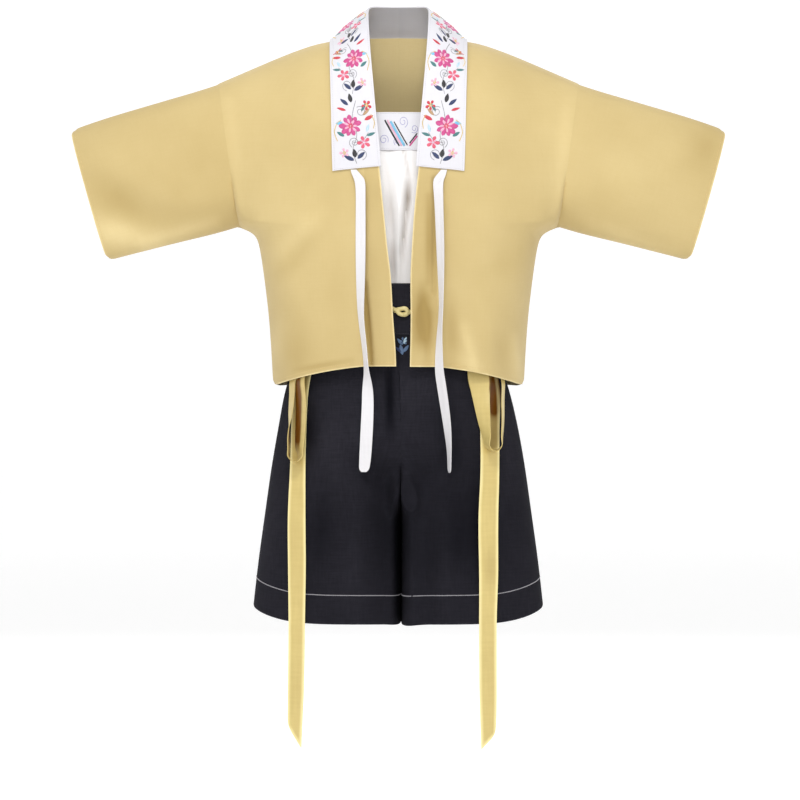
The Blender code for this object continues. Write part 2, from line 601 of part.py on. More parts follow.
def collar_grid(side):
    """Rows of a collar half, from its bottom edge on the front to the centre back."""
    sign = SIDES[side]
    grid = []
    for row in COLLAR:
        lift = COLLAR_CLOTH + LIE + COLLAR_SPRING * ease(*COLLAR_SPRING_Z, row.outer_z)
        ends = []
        for x, y, z in ((row.outer_x, row.outer_y, row.outer_z),
                        (row.inner_x, row.inner_y, row.inner_z)):
            if y is ON_CHEST:
                ends.append(front_point(side, x, z, lift))
            else:
                ends.append(np.array([sign * x, y, z]))
        outer, inner = ends
        chest = row.outer_y is ON_CHEST
        line = [outer]
        for i in range(COLLAR_COLUMNS):
            across = COLLAR_TURN + (1 - COLLAR_TURN) * i / (COLLAR_COLUMNS - 1)
            point = outer + (inner - outer) * across
            bow = COLLAR_BOW * math.sin(math.pi * across)
            if i == 0 and not chest:
                y = row.outer_y * NECK_SEAM[0].y / COLLAR[-1].outer_y
                x = np.interp(y, [seam.y for seam in NECK_SEAM[::-1]],
                              [seam.x for seam in NECK_SEAM[::-1]])
                away = COLLAR_CLOTH + 2 * LIE
                grow = 1 + away / COLLAR_NECK_REACH
                point = np.array([sign * x * grow, y * grow, between(NECK_SEAM, "z", x) + away])
            elif chest:
                point[1] -= bow
                laid = front_point(side, abs(point[0]), point[2], lift)
                panel_x = between(FRONT_EDGES[side], "seam", point[2]) - COLLAR_OVERHANG
                on_panel = abs(point[0]) > panel_x
                if row.inner_y is ON_CHEST or (on_panel and laid[1] < point[1]):
                    point = laid
            else:
                out = np.array([outer[0], outer[1], 0.0])
                out = out / np.linalg.norm(out)
                point += (out + np.array([0, 0, 1])) * bow * COLLAR_BOW_ROUND_NECK
            line.append(point)
        grid.append(line)
    return np.array(grid)


def super_round(value):
    """A sine or cosine raised so that a section is fuller than an ellipse."""
    return math.copysign(abs(value) ** LEG_POWER, value)


def shorts_point(side, part, spread, z, z_level):
    """A point of the shorts: spread is 0 at the side seam and 1 at the centre or inseam."""
    sign = SIDES[side]
    width = between(SHORTS, "width", z_level) + LEG_LEAN[side] * ease(*LEG_LEAN_Z, z_level)
    depth = between(SHORTS, part, z_level)
    half = spread * math.pi / 2
    body = np.array([width * super_round(math.cos(half)), depth * super_round(math.sin(half))])
    inner = LEG_GAP * ease(*GAP_OPEN_Z, z_level)
    middle = (width + inner) / 2
    reach = (width - inner) / 2
    turn = spread * math.pi
    leg = np.array([middle + reach * super_round(math.cos(turn)),
                    depth * super_round(math.sin(turn))])
    split = ease(-RISE_START_Z, -CROTCH_Z, -z_level)
    x, y = body * (1 - split) + leg * split
    if part == "front":
        swell = fold_height(SHORTS_FOLDS[side], x, z)
    else:
        swell = fold_height(SHORTS_BACK_FOLDS, x, z)
    y += swell * min(y / SHORTS_FOLD_DEPTH, 1) * ease(0.0, SHORTS_FOLD_TOP, WAIST_LOW_Z - z)
    drift = CENTRE_X * ease(-WAIST_LOW_Z, -RISE_START_Z, -z)
    return np.array([sign * x + drift, -y if part == "front" else y, z])


def shorts_hem(part, spread):
    """Height of the shorts' hem round a leg."""
    middle = HEM_FRONT_Z if part == "front" else HEM_FRONT_Z + HEM_BACK_LIFT
    if spread < 0.5:
        return HEM_OUTER_Z + (middle - HEM_OUTER_Z) * ease(0, 0.5, spread)
    return middle + (HEM_INNER_Z - middle) * ease(0.5, 1, spread)


def shorts_grid(side, part):
    """Rows of a shorts panel, from just below the waistband to the hem."""
    top = WAIST_LOW_Z - SEAM
    grid = []
    for share in SHORTS_STEPS:
        z_level = top + (HEM_FRONT_Z - top) * share
        row = []
        for j in range(SHORTS_COLUMNS + 1):
            spread = j / SHORTS_COLUMNS
            z = top + (shorts_hem(part, spread) - top) * share
            row.append(shorts_point(side, part, spread, z, z_level))
        grid.append(row)
    return np.array(grid)


def half_ring(table, part, z, columns, outward=0.0):
    """Half of a ring round the body, from the wearer's right side to the left."""
    width = between(table, "width", z) + outward
    depth = between(table, part, z) + outward
    sign = -1 if part == "front" else 1
    line = []
    for i in range(columns + 1):
        angle = math.pi * i / columns
        line.append([-width * super_round(math.cos(angle)),
                     sign * depth * super_round(math.sin(angle)), z])
    return line


def waist_grid(part):
    """Rows of the waistband's front or back."""
    levels = (WAIST_TOP_Z, (WAIST_TOP_Z + WAIST_LOW_Z) / 2, WAIST_LOW_Z)
    return np.array([half_ring(SHORTS, part, z, WAIST_COLUMNS) for z in levels])


def camisole_band_grid(part):
    """Rows of the camisole's top band."""
    levels = (CAMISOLE_TOP_Z, (CAMISOLE_TOP_Z + CAMISOLE_BAND_Z) / 2, CAMISOLE_BAND_Z)
    return np.array([half_ring(CAMISOLE, part, z, BAND_COLUMNS) for z in levels])


def gather(angle, z):
    """How far a gather draws the cloth in, deepest under the top band and uneven round it."""
    wave = 0.5 - 0.5 * math.cos(GATHERS * angle + GATHER_DRIFT * math.sin(3 * angle))
    uneven = 1 - GATHER_UNEVEN + GATHER_UNEVEN * math.sin(5 * angle + 0.8)
    fall = 1 - GATHER_EASING * ease(*GATHER_FALL, CAMISOLE_BAND_Z - z)
    return GATHER_DEPTH * wave * uneven * fall


def camisole_grid(part):
    """Rows of the camisole's gathered front or back."""
    columns = GATHERS * 2
    grid = []
    for z in CAMISOLE_ROWS:
        line = np.array(half_ring(CAMISOLE, part, z, columns))
        for i, point in enumerate(line):
            angle = math.pi * i / columns
            full = min(GATHER_SIDE * math.sin(angle), 1)
            pull = gather(angle if part == "front" else angle + math.pi, z) * full
            outward = np.array([point[0], point[1], 0])
            point -= outward / np.linalg.norm(outward) * pull
        grid.append(line)
    return np.array(grid)


def key(point):
    """Points closer than a hundredth of a millimetre count as one."""
    return tuple(int(round(float(value) * 1e5)) for value in point)


def shared_normals(grids):
    """Outward normals of every grid's points, agreed where panels meet."""
    totals = {}
    for grid in grids.values():
        across = grid[1:, 1:] - grid[:-1, :-1]
        down = grid[1:, :-1] - grid[:-1, 1:]
        faces = np.cross(across, down)
        centre = (grid[1:, 1:] + grid[:-1, :-1]) / 2
        if np.sum(faces * outward_hint(centre)) < 0:
            faces = -faces
        rows, columns = faces.shape[:2]
        for i in range(rows):
            for j in range(columns):
                for corner in ((i, j), (i + 1, j), (i, j + 1), (i + 1, j + 1)):
                    place = key(grid[corner])
                    totals[place] = totals.get(place, np.zeros(3)) + faces[i, j]
    normals = {}
    for name, grid in grids.items():
        field = np.array([[totals[key(point)] for point in row] for row in grid])
        normals[name] = field / np.linalg.norm(field, axis=2, keepdims=True)
    return normals


def outward_hint(centre):
    """Rough outward directions of a grid's faces: away from the plane through the sides."""
    hint = np.zeros_like(centre)
    hint[:, :, 1] = centre[:, :, 1]
    return hint


def pull_in(grid, edges, gap=SEAM):
    """Move a panel's named edges in by half a gap, along the cloth."""
    grid = grid.copy()
    ends = {"top": (0, 1), "low": (-1, -2)}
    for name, (edge, inside) in ends.items():
        if name in edges:
            step = grid[inside] - grid[edge]
            grid[edge] += step / np.linalg.norm(step, axis=1, keepdims=True) * gap / 2
    sides = {"first": (0, 1), "last": (-1, -2)}
    for name, (edge, inside) in sides.items():
        if name in edges:
            step = grid[:, inside] - grid[:, edge]
            grid[:, edge] += step / np.linalg.norm(step, axis=1, keepdims=True) * gap / 2
    return grid


def finish(slot):
    """The material of a slot."""
    if slot in bpy.data.materials:
        return bpy.data.materials[slot]
    material = bpy.data.materials.new(slot)
    material.use_nodes = True
    shader = material.node_tree.nodes["Principled BSDF"]
    shader.inputs["Base Color"].default_value = (*FINISHES[slot].colour, 1)
    shader.inputs["Roughness"].default_value = FINISHES[slot].roughness
    shader.inputs["Metallic"].default_value = 0
    return material


def add_object(name, mesh, slot):
    """Put a mesh into the hanfu's collection as a smooth-shaded object."""
    mesh.materials.append(finish(slot))
    mesh.shade_smooth()
    mesh.set_sharp_from_angle(angle=math.radians(40))
    thing = bpy.data.objects.new(name, mesh)
    parts.objects.link(thing)
    return thing


def facets(grid):
    """Two triangles for each cell of a grid, split along its shorter diagonal."""
    rows, columns = grid.shape[:2]
    points = grid.reshape(-1, 3)
    for i in range(rows - 1):
        for j in range(columns - 1):
            a = i * columns + j
            b, c, d = a + 1, a + columns + 1, a + columns
            if np.linalg.norm(points[a] - points[c]) <= np.linalg.norm(points[b] - points[d]):
                yield a, b, c
                yield a, c, d
            else:
                yield a, b, d
                yield b, c, d


def cloth(name, outer, normals, thickness, slot):
    """A closed wall: the outer grid, the same grid moved in along its normals, and a rim."""
    inner = outer - normals * thickness
    rows, columns = outer.shape[:2]
    shape = bmesh.new()
    layers = []
    for grid in (outer, inner):
        known = {}
        layer = []
        for i in range(rows):
            for j in range(columns):
                place = key(outer[i, j])
                if place not in known:
                    known[place] = shape.verts.new(grid[i, j])
                layer.append(known[place])
        layers.append(layer)
    for corners in facets(outer):
        shape.faces.new([layers[0][corner] for corner in corners])
        shape.faces.new([layers[1][corner] for corner in reversed(corners)])
    partner = dict(zip(layers[0], layers[1]))
    for edge in [edge for edge in shape.edges if len(edge.link_faces) == 1]:
        start, end = edge.verts
        if start in partner and end in partner:
            shape.faces.new([start, end, partner[end], partner[start]])
    bmesh.ops.recalc_face_normals(shape, faces=shape.faces)
    mesh = bpy.data.meshes.new(name)
    shape.to_mesh(mesh)
    shape.free()
    return add_object(name, mesh, slot)


def skin_tree(grids):
    """A search tree of the outer faces of several grids."""
    points = []
    faces = []
    for grid in grids:
        start = len(points)
        points += [Vector(point) for point in grid.reshape(-1, 3)]
        faces += [tuple(start + corner for corner in corners) for corners in facets(grid)]
    return BVHTree.FromPolygons(points, faces)


def front_hit(tree, x, z):
    """Where a line straight back from the front first meets a skin, and its normal there."""
    place, normal = tree.ray_cast(Vector((x, -1, z)), Vector((0, 1, 0)))[:2]
    if place is None:
        place, normal = tree.ray_cast(Vector((x, -1, z + 2 * SEAM)), Vector((0, 1, 0)))[:2]
    if place is None:
        return None, None
    return place, -normal if normal.y > 0 else normal


def rest_on(tree, x, z, low_z, lift):
    """A ribbon's place, lifted off the cloth along its normal; below low_z it hangs down."""
    place, normal = front_hit(tree, x, max(z, low_z))
    lifted = place + normal * lift
    lifted.z = z
    return lifted


def strip(name, left, middle, right, thickness, slot):
    """A thin band through two edges and a middle line, thick on both sides of them."""
    grid = np.stack([left, middle, right], axis=1)
    mesh = bpy.data.meshes.new(name)
    shape = bmesh.new()
    bmesh.ops.create_grid(shape, x_segments=2, y_segments=len(left) - 1)
    shape.verts.ensure_lookup_table()
    order = sorted(shape.verts, key=lambda vert: (round(vert.co.y, 4), round(vert.co.x, 4)))
    for vert, point in zip(order, grid.reshape(-1, 3)):
        vert.co = point
    bmesh.ops.triangulate(shape, faces=shape.faces)
    shape.to_mesh(mesh)
    shape.free()
    thing = add_object(name, mesh, slot)
    wall = thing.modifiers.new("wall", "SOLIDIFY")
    wall.thickness = thickness
    wall.offset = 0
    return thing


def smooth_rows(rows, count):
    """A table's rows as a smooth run of rows, evenly spread along the table."""
    values = np.array(rows, dtype=float)
    places = np.linspace(0, len(rows) - 1, count)
    runs = []
    for column in range(values.shape[1]):
        steps = [Step(float(i), float(value)) for i, value in enumerate(values[:, column])]
        runs.append([between(steps, "value", float(place)) for place in places])
    return [type(rows[0])(*row) for row in zip(*runs)]


def turned_strip(name, side, rows, behind, slot, slant=0.0):
    """A hanging strip whose rows give its middle, width, turn and lift off what is behind."""
    sign = SIDES[side]
    lines = [[], [], []]
    for number, row in enumerate(rows):
        turn = math.radians(row.turn) * sign
        drop = slant / 2 if number == len(rows) - 1 else 0
        for line, across in zip(lines, (-1, 0, 1)):
            half = across * row.width / 2
            flat = row.turn == 0
            place = behind(sign * row.x + half * flat, row.z, row.lift)
            line.append([place.x + half * math.cos(turn) * (not flat),
                         place.y + half * math.sin(turn), row.z + across * drop])
    return strip(name, *lines, RIBBON if slot == "ribbon_satin" else FINE_CLOTH, slot)


def build_jacket():
    """The jacket's panels; returns the search tree of its fronts and bands."""
    grids = {}
    for side in SIDES:
        grids[f"jacket_front_{side}"] = front_grid(side)
        grids[f"front_band_{side}"] = band_grid(side, grids[f"jacket_front_{side}"])
        grids[f"jacket_back_{side}"] = back_grid(side)
        grids[f"sleeve_{side}"] = sleeve_grid(side)
    normals = shared_normals(grids)
    edges = {"jacket_front": ("top", "first", "last"), "front_band": ("last",),
             "jacket_back": ("top", "first", "last"), "sleeve": ("top",)}
    for name, grid in grids.items():
        kind = name.rsplit("_", 1)[0]
        cloth(name, pull_in(grid, edges[kind]), normals[name], JACKET_CLOTH, "jacket_cloth")
    return skin_tree([grid for name, grid in grids.items() if "front" in name])


def build_collar():
    """Two collar halves that meet at the centre back."""
    grids = {f"collar_{side}": collar_grid(side) for side in SIDES}
    normals = shared_normals(grids)
    for name, grid in grids.items():
        cloth(name, pull_in(grid, ("low",)), normals[name], COLLAR_CLOTH, "collar_cloth")


def build_shorts():
    """The shorts' panels and waistband; returns the search tree of what a ribbon lies on."""
    grids = {f"shorts_{part}_{side}": shorts_grid(side, part)
             for side in SIDES for part in ("front", "back")}
    normals = shared_normals(grids)
    for name, grid in grids.items():
        cloth(name, pull_in(grid, ("first", "last")), normals[name], SHORTS_CLOTH, "shorts_cloth")
    waist = {f"waistband_{part}": waist_grid(part) for part in ("front", "back")}
    waist_normals = shared_normals(waist)
    for name, grid in waist.items():
        cloth(name, pull_in(grid, ("first", "last")), waist_normals[name], SHORTS_CLOTH,
              "shorts_cloth")
    return skin_tree(list(grids.values()) + list(waist.values()))


def build_camisole():
    """The camisole's top band and gathered body."""
    bands = {f"camisole_band_{part}": camisole_band_grid(part) for part in ("front", "back")}
    bodies = {f"camisole_{part}": camisole_grid(part) for part in ("front", "back")}
    for grids in (bands, bodies):
        normals = shared_normals(grids)
        for name, grid in grids.items():
            cloth(name, pull_in(grid, ("first", "last")), normals[name], FINE_CLOTH,
                  "camisole_cloth")


def build_belt():
    """The belt: a ribbon round the waistband in three lengths."""
    half = BELT_WIDTH / 2
    out = LIE + RIBBON
    for part in ("front", "back"):
        rows = [half_ring(SHORTS, part, z, WAIST_COLUMNS, out) for z in
                (BELT_Z + half, BELT_Z, BELT_Z - half)]
        grid = np.array(rows)
        middle = WAIST_COLUMNS // 2
        if part == "front":
            spans = {"belt_front_right": (2, middle - 1),
                     "belt_front_left": (middle + 1, WAIST_COLUMNS - 2)}
        else:
            spans = {"belt_back": (1, WAIST_COLUMNS - 1)}
        normals = shared_normals({"belt": grid})["belt"]
        for name, (start, end) in spans.items():
            cloth(name, grid[:, start:end + 1], normals[:, start:end + 1], RIBBON, "ribbon_satin")


def knot_tube(name, path, radius):
    """A rounded strand along a short path, its ends closed."""
    curve = bpy.data.curves.new(name, "CURVE")
    curve.dimensions = "3D"
    curve.bevel_depth = radius
    curve.bevel_resolution = 2
    curve.use_fill_caps = True
    spline = curve.splines.new("POLY")
    spline.points.add(len(path) - 1)
    for point, place in zip(spline.points, path):
        point.co = (*place, 1)
    curve.materials.append(finish("ribbon_satin"))
    thing = bpy.data.objects.new(name, curve)
    parts.objects.link(thing)
    weld = thing.modifiers.new("weld", "WELD")
    weld.merge_threshold = 0.00005
    return thing


def curl_path(curl, waist_y):
    """A strand's path: from the belt's end in to the centre, then round in a curl."""
    path = []
    for i in range(STRAND_POINTS):
        t = i / (STRAND_POINTS - 1)
        run_in = (1 - t) ** curl.fade
        angle = math.pi * (curl.start + curl.turn * t)
        lift = curl.lift * math.sin(math.pi * t / 2) * (1 - run_in)
        lift += curl.rise * math.sin(math.pi * t)
        path.append((curl.x + curl.wide * math.cos(angle) + curl.reach * run_in,
                     waist_y - LIE - curl.radius - lift,
                     BELT_Z + curl.z + curl.high * math.sin(angle)))
    return path


def build_centre_knot(waist_y):
    """Two strands twisted round each other where the belt crosses the centre front."""
    for side, curl in CURLS.items():
        knot_tube(f"belt_knot_{side}", curl_path(curl, waist_y), curl.radius)


def build_side_knot(side, tree):
    """The wrapped knot that holds a side's loop and tail, on the outside of the belt."""
    shape = bmesh.new()
    bmesh.ops.create_uvsphere(shape, u_segments=12, v_segments=8, radius=1)
    place, normal = front_hit(tree, SIDES[side] * KNOT_X, BELT_Z)
    centre = place + normal * (KNOT_SIZE.x + RIBBON + 2 * LIE)
    centre.z = KNOT_Z
    for vert in shape.verts:
        vert.co = Vector(vert.co[i] * KNOT_SIZE[i] for i in range(3)) + centre
    mesh = bpy.data.meshes.new(f"bow_knot_{side}")
    shape.to_mesh(mesh)
    shape.free()
    add_object(f"bow_knot_{side}", mesh, "ribbon_satin")


def build_ribbons(shorts):
    """Each side's knot, hanging loop and tail, lying on the shorts."""
    low_z = HEM_OUTER_Z - HEM_CLEAR

    def on_shorts(x, z, lift):
        return rest_on(shorts, x, z, low_z, lift)

    for side, sign in SIDES.items():
        build_side_knot(side, shorts)
        front, rear = [], []
        for row in smooth_rows(LOOPS[side], LOOP_ROWS):
            near = front_hit(shorts, sign * row.front_x, row.z)[0]
            front.append([near.x, near.y - row.front_lift, row.z])
            rear.append(on_shorts(sign * row.rear_x, row.z, row.rear_lift))
        front, rear = np.array(front), np.array(rear)
        strip(f"bow_loop_{side}", front, (front + rear) / 2, rear, RIBBON, "ribbon_satin")
        turned_strip(f"ribbon_tail_{side}", side, smooth_rows(TAILS[side], TAIL_ROWS), on_shorts,
                     "ribbon_satin", TAIL_SLANT[side])


def build_ties(jacket, shorts):
    """The collar's two ties, lying on the fronts and hanging past the hem."""
    def behind(x, z, lift):
        hem = front_hem(abs(x) / BODY[-1].width) + HEM_CLEAR
        fall = max(hem - z, 0)
        swing = TIE_SWING * ease(*TIE_SWING_FALL, fall) * fall
        found = [front_hit(jacket, x, max(z, hem))[0].y + swing]
        if front_hit(shorts, x, z)[0]:
            found.append(front_hit(shorts, x, z)[0].y)
        return Vector((x, min(found) - lift, z))

    for side in SIDES:
        turned_strip(f"tie_{side}", side, smooth_rows(TIES[side], TIE_ROWS), behind,
                     "collar_cloth")


def main():
    """Empty the scene and build the whole set."""
    for thing in list(bpy.data.objects):
        bpy.data.objects.remove(thing)
    bpy.context.scene.collection.children.link(parts)
    jacket = build_jacket()
    build_collar()
    build_camisole()
    shorts = build_shorts()
    build_belt()
    build_centre_knot(-between(SHORTS, "front", BELT_Z))
    build_ribbons(shorts)
    build_ties(jacket, shorts)


main()
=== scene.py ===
"""Looks of a modern hanfu set: jacket, collar, camisole, shorts and ribbons, as on a wearer.

Metres, +Z up, front towards -Y, the wearer's left at +X. Every cloth piece is a fine shell on its
solid's own form with its creases pressed in, and embroidery and stitches are laid on the shells.
"""
import json
import logging
import math
from dataclasses import dataclass, field, replace
from enum import Enum
from typing import Callable, Iterable, Sequence

import bmesh
import bpy
import numpy as np
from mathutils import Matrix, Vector
from mathutils.bvhtree import BVHTree
from mathutils.kdtree import KDTree

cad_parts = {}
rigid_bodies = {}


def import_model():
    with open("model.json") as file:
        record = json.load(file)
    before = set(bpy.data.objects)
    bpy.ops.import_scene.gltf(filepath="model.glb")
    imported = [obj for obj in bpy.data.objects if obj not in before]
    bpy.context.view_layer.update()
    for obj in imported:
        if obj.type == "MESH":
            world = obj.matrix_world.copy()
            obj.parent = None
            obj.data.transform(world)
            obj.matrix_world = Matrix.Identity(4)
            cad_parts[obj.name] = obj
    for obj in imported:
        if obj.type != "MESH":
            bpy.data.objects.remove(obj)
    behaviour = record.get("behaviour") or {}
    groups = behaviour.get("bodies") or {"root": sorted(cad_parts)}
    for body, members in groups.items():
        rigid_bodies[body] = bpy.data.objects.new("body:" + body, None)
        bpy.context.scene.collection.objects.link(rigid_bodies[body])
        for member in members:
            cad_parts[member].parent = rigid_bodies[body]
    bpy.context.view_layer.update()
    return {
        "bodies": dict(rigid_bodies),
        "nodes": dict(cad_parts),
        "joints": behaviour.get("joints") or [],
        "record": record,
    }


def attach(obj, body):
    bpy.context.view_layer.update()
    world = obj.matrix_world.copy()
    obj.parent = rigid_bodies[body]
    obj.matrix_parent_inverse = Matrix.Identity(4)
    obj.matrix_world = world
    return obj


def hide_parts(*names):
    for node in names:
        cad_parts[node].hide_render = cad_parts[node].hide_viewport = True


log = logging.getLogger("hanfu")
MM = 0.001
BODY = "root"
DOWN = (0.0, 0.0, -1.0)
SIDES = {"right": -1, "left": 1}
# Share of tint per metre of crease depth: painted shade in troughs and painted light on ridges
CREASE_SHADING_TINT = 45.0
SPOT_STEP = 1.5 * MM
SEAM_REACH = 2.2 * MM
Field = Callable[[np.ndarray], np.ndarray]
Line = list[tuple[float, float]]
Aim = Callable[[Vector], Vector]


class Lay(Enum):
    """How a piece's cloth is flattened to its pattern plane."""

    UPRIGHT = "round an upright line"
    ALONG_ARM = "round the arm"
    FLAT = "straight from the front"


class Pad(Enum):
    """Outline of a satin-stitch pad."""

    LEAF = "pointed at both ends"
    PETAL = "narrow at its foot and round at its top"
    BAR = "even with square ends"


def linear(hex_colour: str) -> tuple[float, float, float, float]:
    """Turn an sRGB hex colour to a linear one.

    Args:
        hex_colour: six hex digits after a hash.

    Returns:
        Linear red, green and blue, and an alpha of 1.
    """
    channels = [int(hex_colour[i:i + 2], 16) / 255 for i in (1, 3, 5)]
    lin = [c / 12.92 if c <= 0.04045 else ((c + 0.055) / 1.055) ** 2.4 for c in channels]
    return (*lin, 1.0)


def add_node(tree: bpy.types.NodeTree, kind: str, settings: dict | None = None,
             links: dict | None = None) -> bpy.types.Node:
    """Add a node with its settings and links.

    Args:
        tree: the node tree.
        kind: the node's type name.
        settings: attribute names or input keys, with their values.
        links: input keys, with the sockets that feed them.

    Returns:
        The new node.
    """
    node = tree.nodes.new(kind)
    for key, value in (settings or {}).items():
        if isinstance(key, str) and hasattr(node, key):
            setattr(node, key, value)
        else:
            node.inputs[key].default_value = value
    for key, socket in (links or {}).items():
        tree.links.new(socket, node.inputs[key])
    return node


@dataclass(frozen=True)
class Weave:
    """A woven cloth's finish, on the piece's UV map in metres so threads run with the grain.

    The attribute rim is the distance from a hem, and tone is how far the colour goes to tint,
    which holds painted shade and painted light.
    """

    name: str
    warp: str
    weft: str
    tint: str
    thread_mm: float
    slub_mm: float
    slub_mix: float
    roughness: float
    sheen: float
    bump_mm: float
    shine: float = 0.3
    grain_turn: float = 0.0
    hem: str = ""
    hem_mm: float = 0.0

    def material(self) -> bpy.types.Material:
        """Build the material once.

        Returns:
            The material, made on first use.
        """
        if self.name in bpy.data.materials:
            return bpy.data.materials[self.name]
        material = bpy.data.materials.new(self.name)
        material.use_nodes = True
        tree = material.node_tree
        shader = tree.nodes["Principled BSDF"]
        uv = add_node(tree, "ShaderNodeUVMap", {"uv_map": "cloth"}).outputs["UV"]
        threads = self.threads(tree, uv)
        slubs = self.slubs(tree, uv)
        colour = self.colour(tree, slubs)
        tree.links.new(colour, shader.inputs["Base Color"])
        height = add_node(tree, "ShaderNodeMath", {"operation": "ADD"}, {0: threads, 1: slubs})
        relief = add_node(tree, "ShaderNodeBump",
                          {"Strength": 0.5, "Distance": self.bump_mm * MM},
                          {"Height": height.outputs[0]})
        tree.links.new(relief.outputs["Normal"], shader.inputs["Normal"])
        shader.inputs["Roughness"].default_value = self.roughness
        shader.inputs["Specular IOR Level"].default_value = self.shine
        shader.inputs["Sheen Weight"].default_value = self.sheen
        shader.inputs["Sheen Roughness"].default_value = 0.5
        return material

    def threads(self, tree: bpy.types.NodeTree, uv: bpy.types.NodeSocket) -> bpy.types.NodeSocket:
        """Add the crossing threads.

        Args:
            tree: the material's tree.
            uv: the pattern plane.

        Returns:
            Their height, 0 to 1.
        """
        turned = add_node(tree, "ShaderNodeMapping", {"Rotation": (0, 0, self.grain_turn)},
                          {"Vector": uv})
        scale = math.pi / 10 / (self.thread_mm * MM)
        waves = [add_node(tree, "ShaderNodeTexWave",
                          {"bands_direction": direction, "Scale": scale, "Distortion": 0.5,
                           "Detail": 1.0, "Detail Scale": 2.0},
                          {"Vector": turned.outputs["Vector"]}).outputs["Fac"]
                 for direction in ("X", "Y")]
        return add_node(tree, "ShaderNodeMath", {"operation": "MULTIPLY"},
                        {0: waves[0], 1: waves[1]}).outputs[0]

    def slubs(self, tree: bpy.types.NodeTree, uv: bpy.types.NodeSocket) -> bpy.types.NodeSocket:
        """Add thick and thin places drawn out along both thread ways.

        Args:
            tree: the material's tree.
            uv: the pattern plane.

        Returns:
            Their strength, about 0 to 1.
        """
        noises = []
        for stretch in ((1, 0.1, 1), (0.1, 1, 1)):
            drawn = add_node(tree, "ShaderNodeMapping", {"Scale": stretch}, {"Vector": uv})
            noises.append(add_node(tree, "ShaderNodeTexNoise",
                                   {"Scale": 1 / (self.slub_mm * MM), "Detail": 3.0},
                                   {"Vector": drawn.outputs["Vector"]}).outputs["Fac"])
        both = add_node(tree, "ShaderNodeMath", {"operation": "ADD"}, {0: noises[0], 1: noises[1]})
        return add_node(tree, "ShaderNodeMapRange", {"From Min": 0.75, "From Max": 1.25},
                        {"Value": both.outputs[0]}).outputs[0]

    def colour(self, tree: bpy.types.NodeTree,
               slubs: bpy.types.NodeSocket) -> bpy.types.NodeSocket:
        """Mix the two threads' colours, the cloth's soft clouding, its tint of painted shade and
        light, and its hem.

        Args:
            tree: the material's tree.
            slubs: where the second thread shows more.

        Returns:
            The colour.
        """
        share = add_node(tree, "ShaderNodeMath", {"operation": "MULTIPLY", 1: self.slub_mix},
                         {0: slubs})
        colour = add_node(tree, "ShaderNodeMix",
                          {"data_type": "RGBA", 6: linear(self.warp), 7: linear(self.weft)},
                          {0: share.outputs[0]}).outputs[2]
        place = add_node(tree, "ShaderNodeTexCoord").outputs["Object"]
        cloud = add_node(tree, "ShaderNodeTexNoise", {"Scale": 7.0, "Detail": 3.0},
                         {"Vector": place})
        soft = add_node(tree, "ShaderNodeMapRange", {"From Min": 0.35, "From Max": 0.75,
                                                     "To Max": 0.18},
                        {"Value": cloud.outputs["Fac"]})
        # tone: painted shade and painted light, stored on each piece
        tone = add_node(tree, "ShaderNodeAttribute", {"attribute_name": "tone"})
        both = add_node(tree, "ShaderNodeMath", {"operation": "ADD", "use_clamp": True},
                        {0: soft.outputs[0], 1: tone.outputs["Fac"]})
        colour = add_node(tree, "ShaderNodeMix", {"data_type": "RGBA", 7: linear(self.tint)},
                          {0: both.outputs[0], 6: colour}).outputs[2]
        if not self.hem:
            return colour
        rim = add_node(tree, "ShaderNodeAttribute", {"attribute_name": "rim"})
        near = add_node(tree, "ShaderNodeMapRange",
                        {"From Min": self.hem_mm * MM, "From Max": 0.2 * MM},
                        {"Value": rim.outputs["Fac"]})
        return add_node(tree, "ShaderNodeMix", {"data_type": "RGBA", 7: linear(self.hem)},
                        {0: near.outputs[0], 6: colour}).outputs[2]


@dataclass(frozen=True)
class Thread:
    """Sewing or embroidery thread, its strands across the first axis of its UV map."""

    name: str
    colour: str
    roughness: float = 0.45
    strand_mm: float = 0.8

    def material(self) -> bpy.types.Material:
        """Build the material once.

        Returns:
            The material, made on first use.
        """
        if self.name in bpy.data.materials:
            return bpy.data.materials[self.name]
        material = bpy.data.materials.new(self.name)
        material.use_nodes = True
        tree = material.node_tree
        shader = tree.nodes["Principled BSDF"]
        shader.inputs["Roughness"].default_value = self.roughness
        shader.inputs["Sheen Weight"].default_value = 0.1
        uv = add_node(tree, "ShaderNodeUVMap", {"uv_map": "cloth"}).outputs["UV"]
        strands = add_node(tree, "ShaderNodeTexWave",
                           {"bands_direction": "X", "Scale": math.pi / 10 / (self.strand_mm * MM),
                            "Distortion": 1.0}, {"Vector": uv}).outputs["Fac"]
        # painted shade: the grooves between strands take a darker copy of the colour
        deep = [channel * 0.72 for channel in linear(self.colour)[:3]]
        colour = add_node(tree, "ShaderNodeMix",
                          {"data_type": "RGBA", 6: (*deep, 1.0), 7: linear(self.colour)},
                          {0: strands})
        tree.links.new(colour.outputs[2], shader.inputs["Base Color"])
        relief = add_node(tree, "ShaderNodeBump", {"Strength": 0.5, "Distance": 0.25 * MM},
                          {"Height": strands})
        tree.links.new(relief.outputs["Normal"], shader.inputs["Normal"])
        return material


# Cotton and linen plain weave, washed soft: matte, with fine slubs and a light fuzz on its turns.
# Its 0.4 mm threads are drawn at 1.2 mm so that they show
# Its tint is the colour of its painted shade, and its pale hem colour a painted highlight along
# the hems, cuffs and front opening
JACKET = Weave("golden khaki cotton linen", "#E0CC97", "#DAC48D", "#A48B52", 1.0, 2.4, 0.4, 0.88,
               0.12, 0.08, hem="#E9D7A4", hem_mm=2.6)
# Bleached cotton sateen with a stiff lining: flat white with hardly any grain
WHITE = Weave("white cotton sateen", "#D5D4D9", "#D0CED3", "#C9C7CE", 1.0, 3.0, 0.4, 0.80, 0.10,
              0.06)
# Bleached cotton tape, folded and pressed: whiter than the collar
# Its tint is the colour of the painted shade in the ties' creases
TAPE = Weave("white cotton tape", "#DFDDDF", "#D9D7D9", "#B9B7BE", 1.0, 3.0, 0.4, 0.80, 0.10, 0.06)
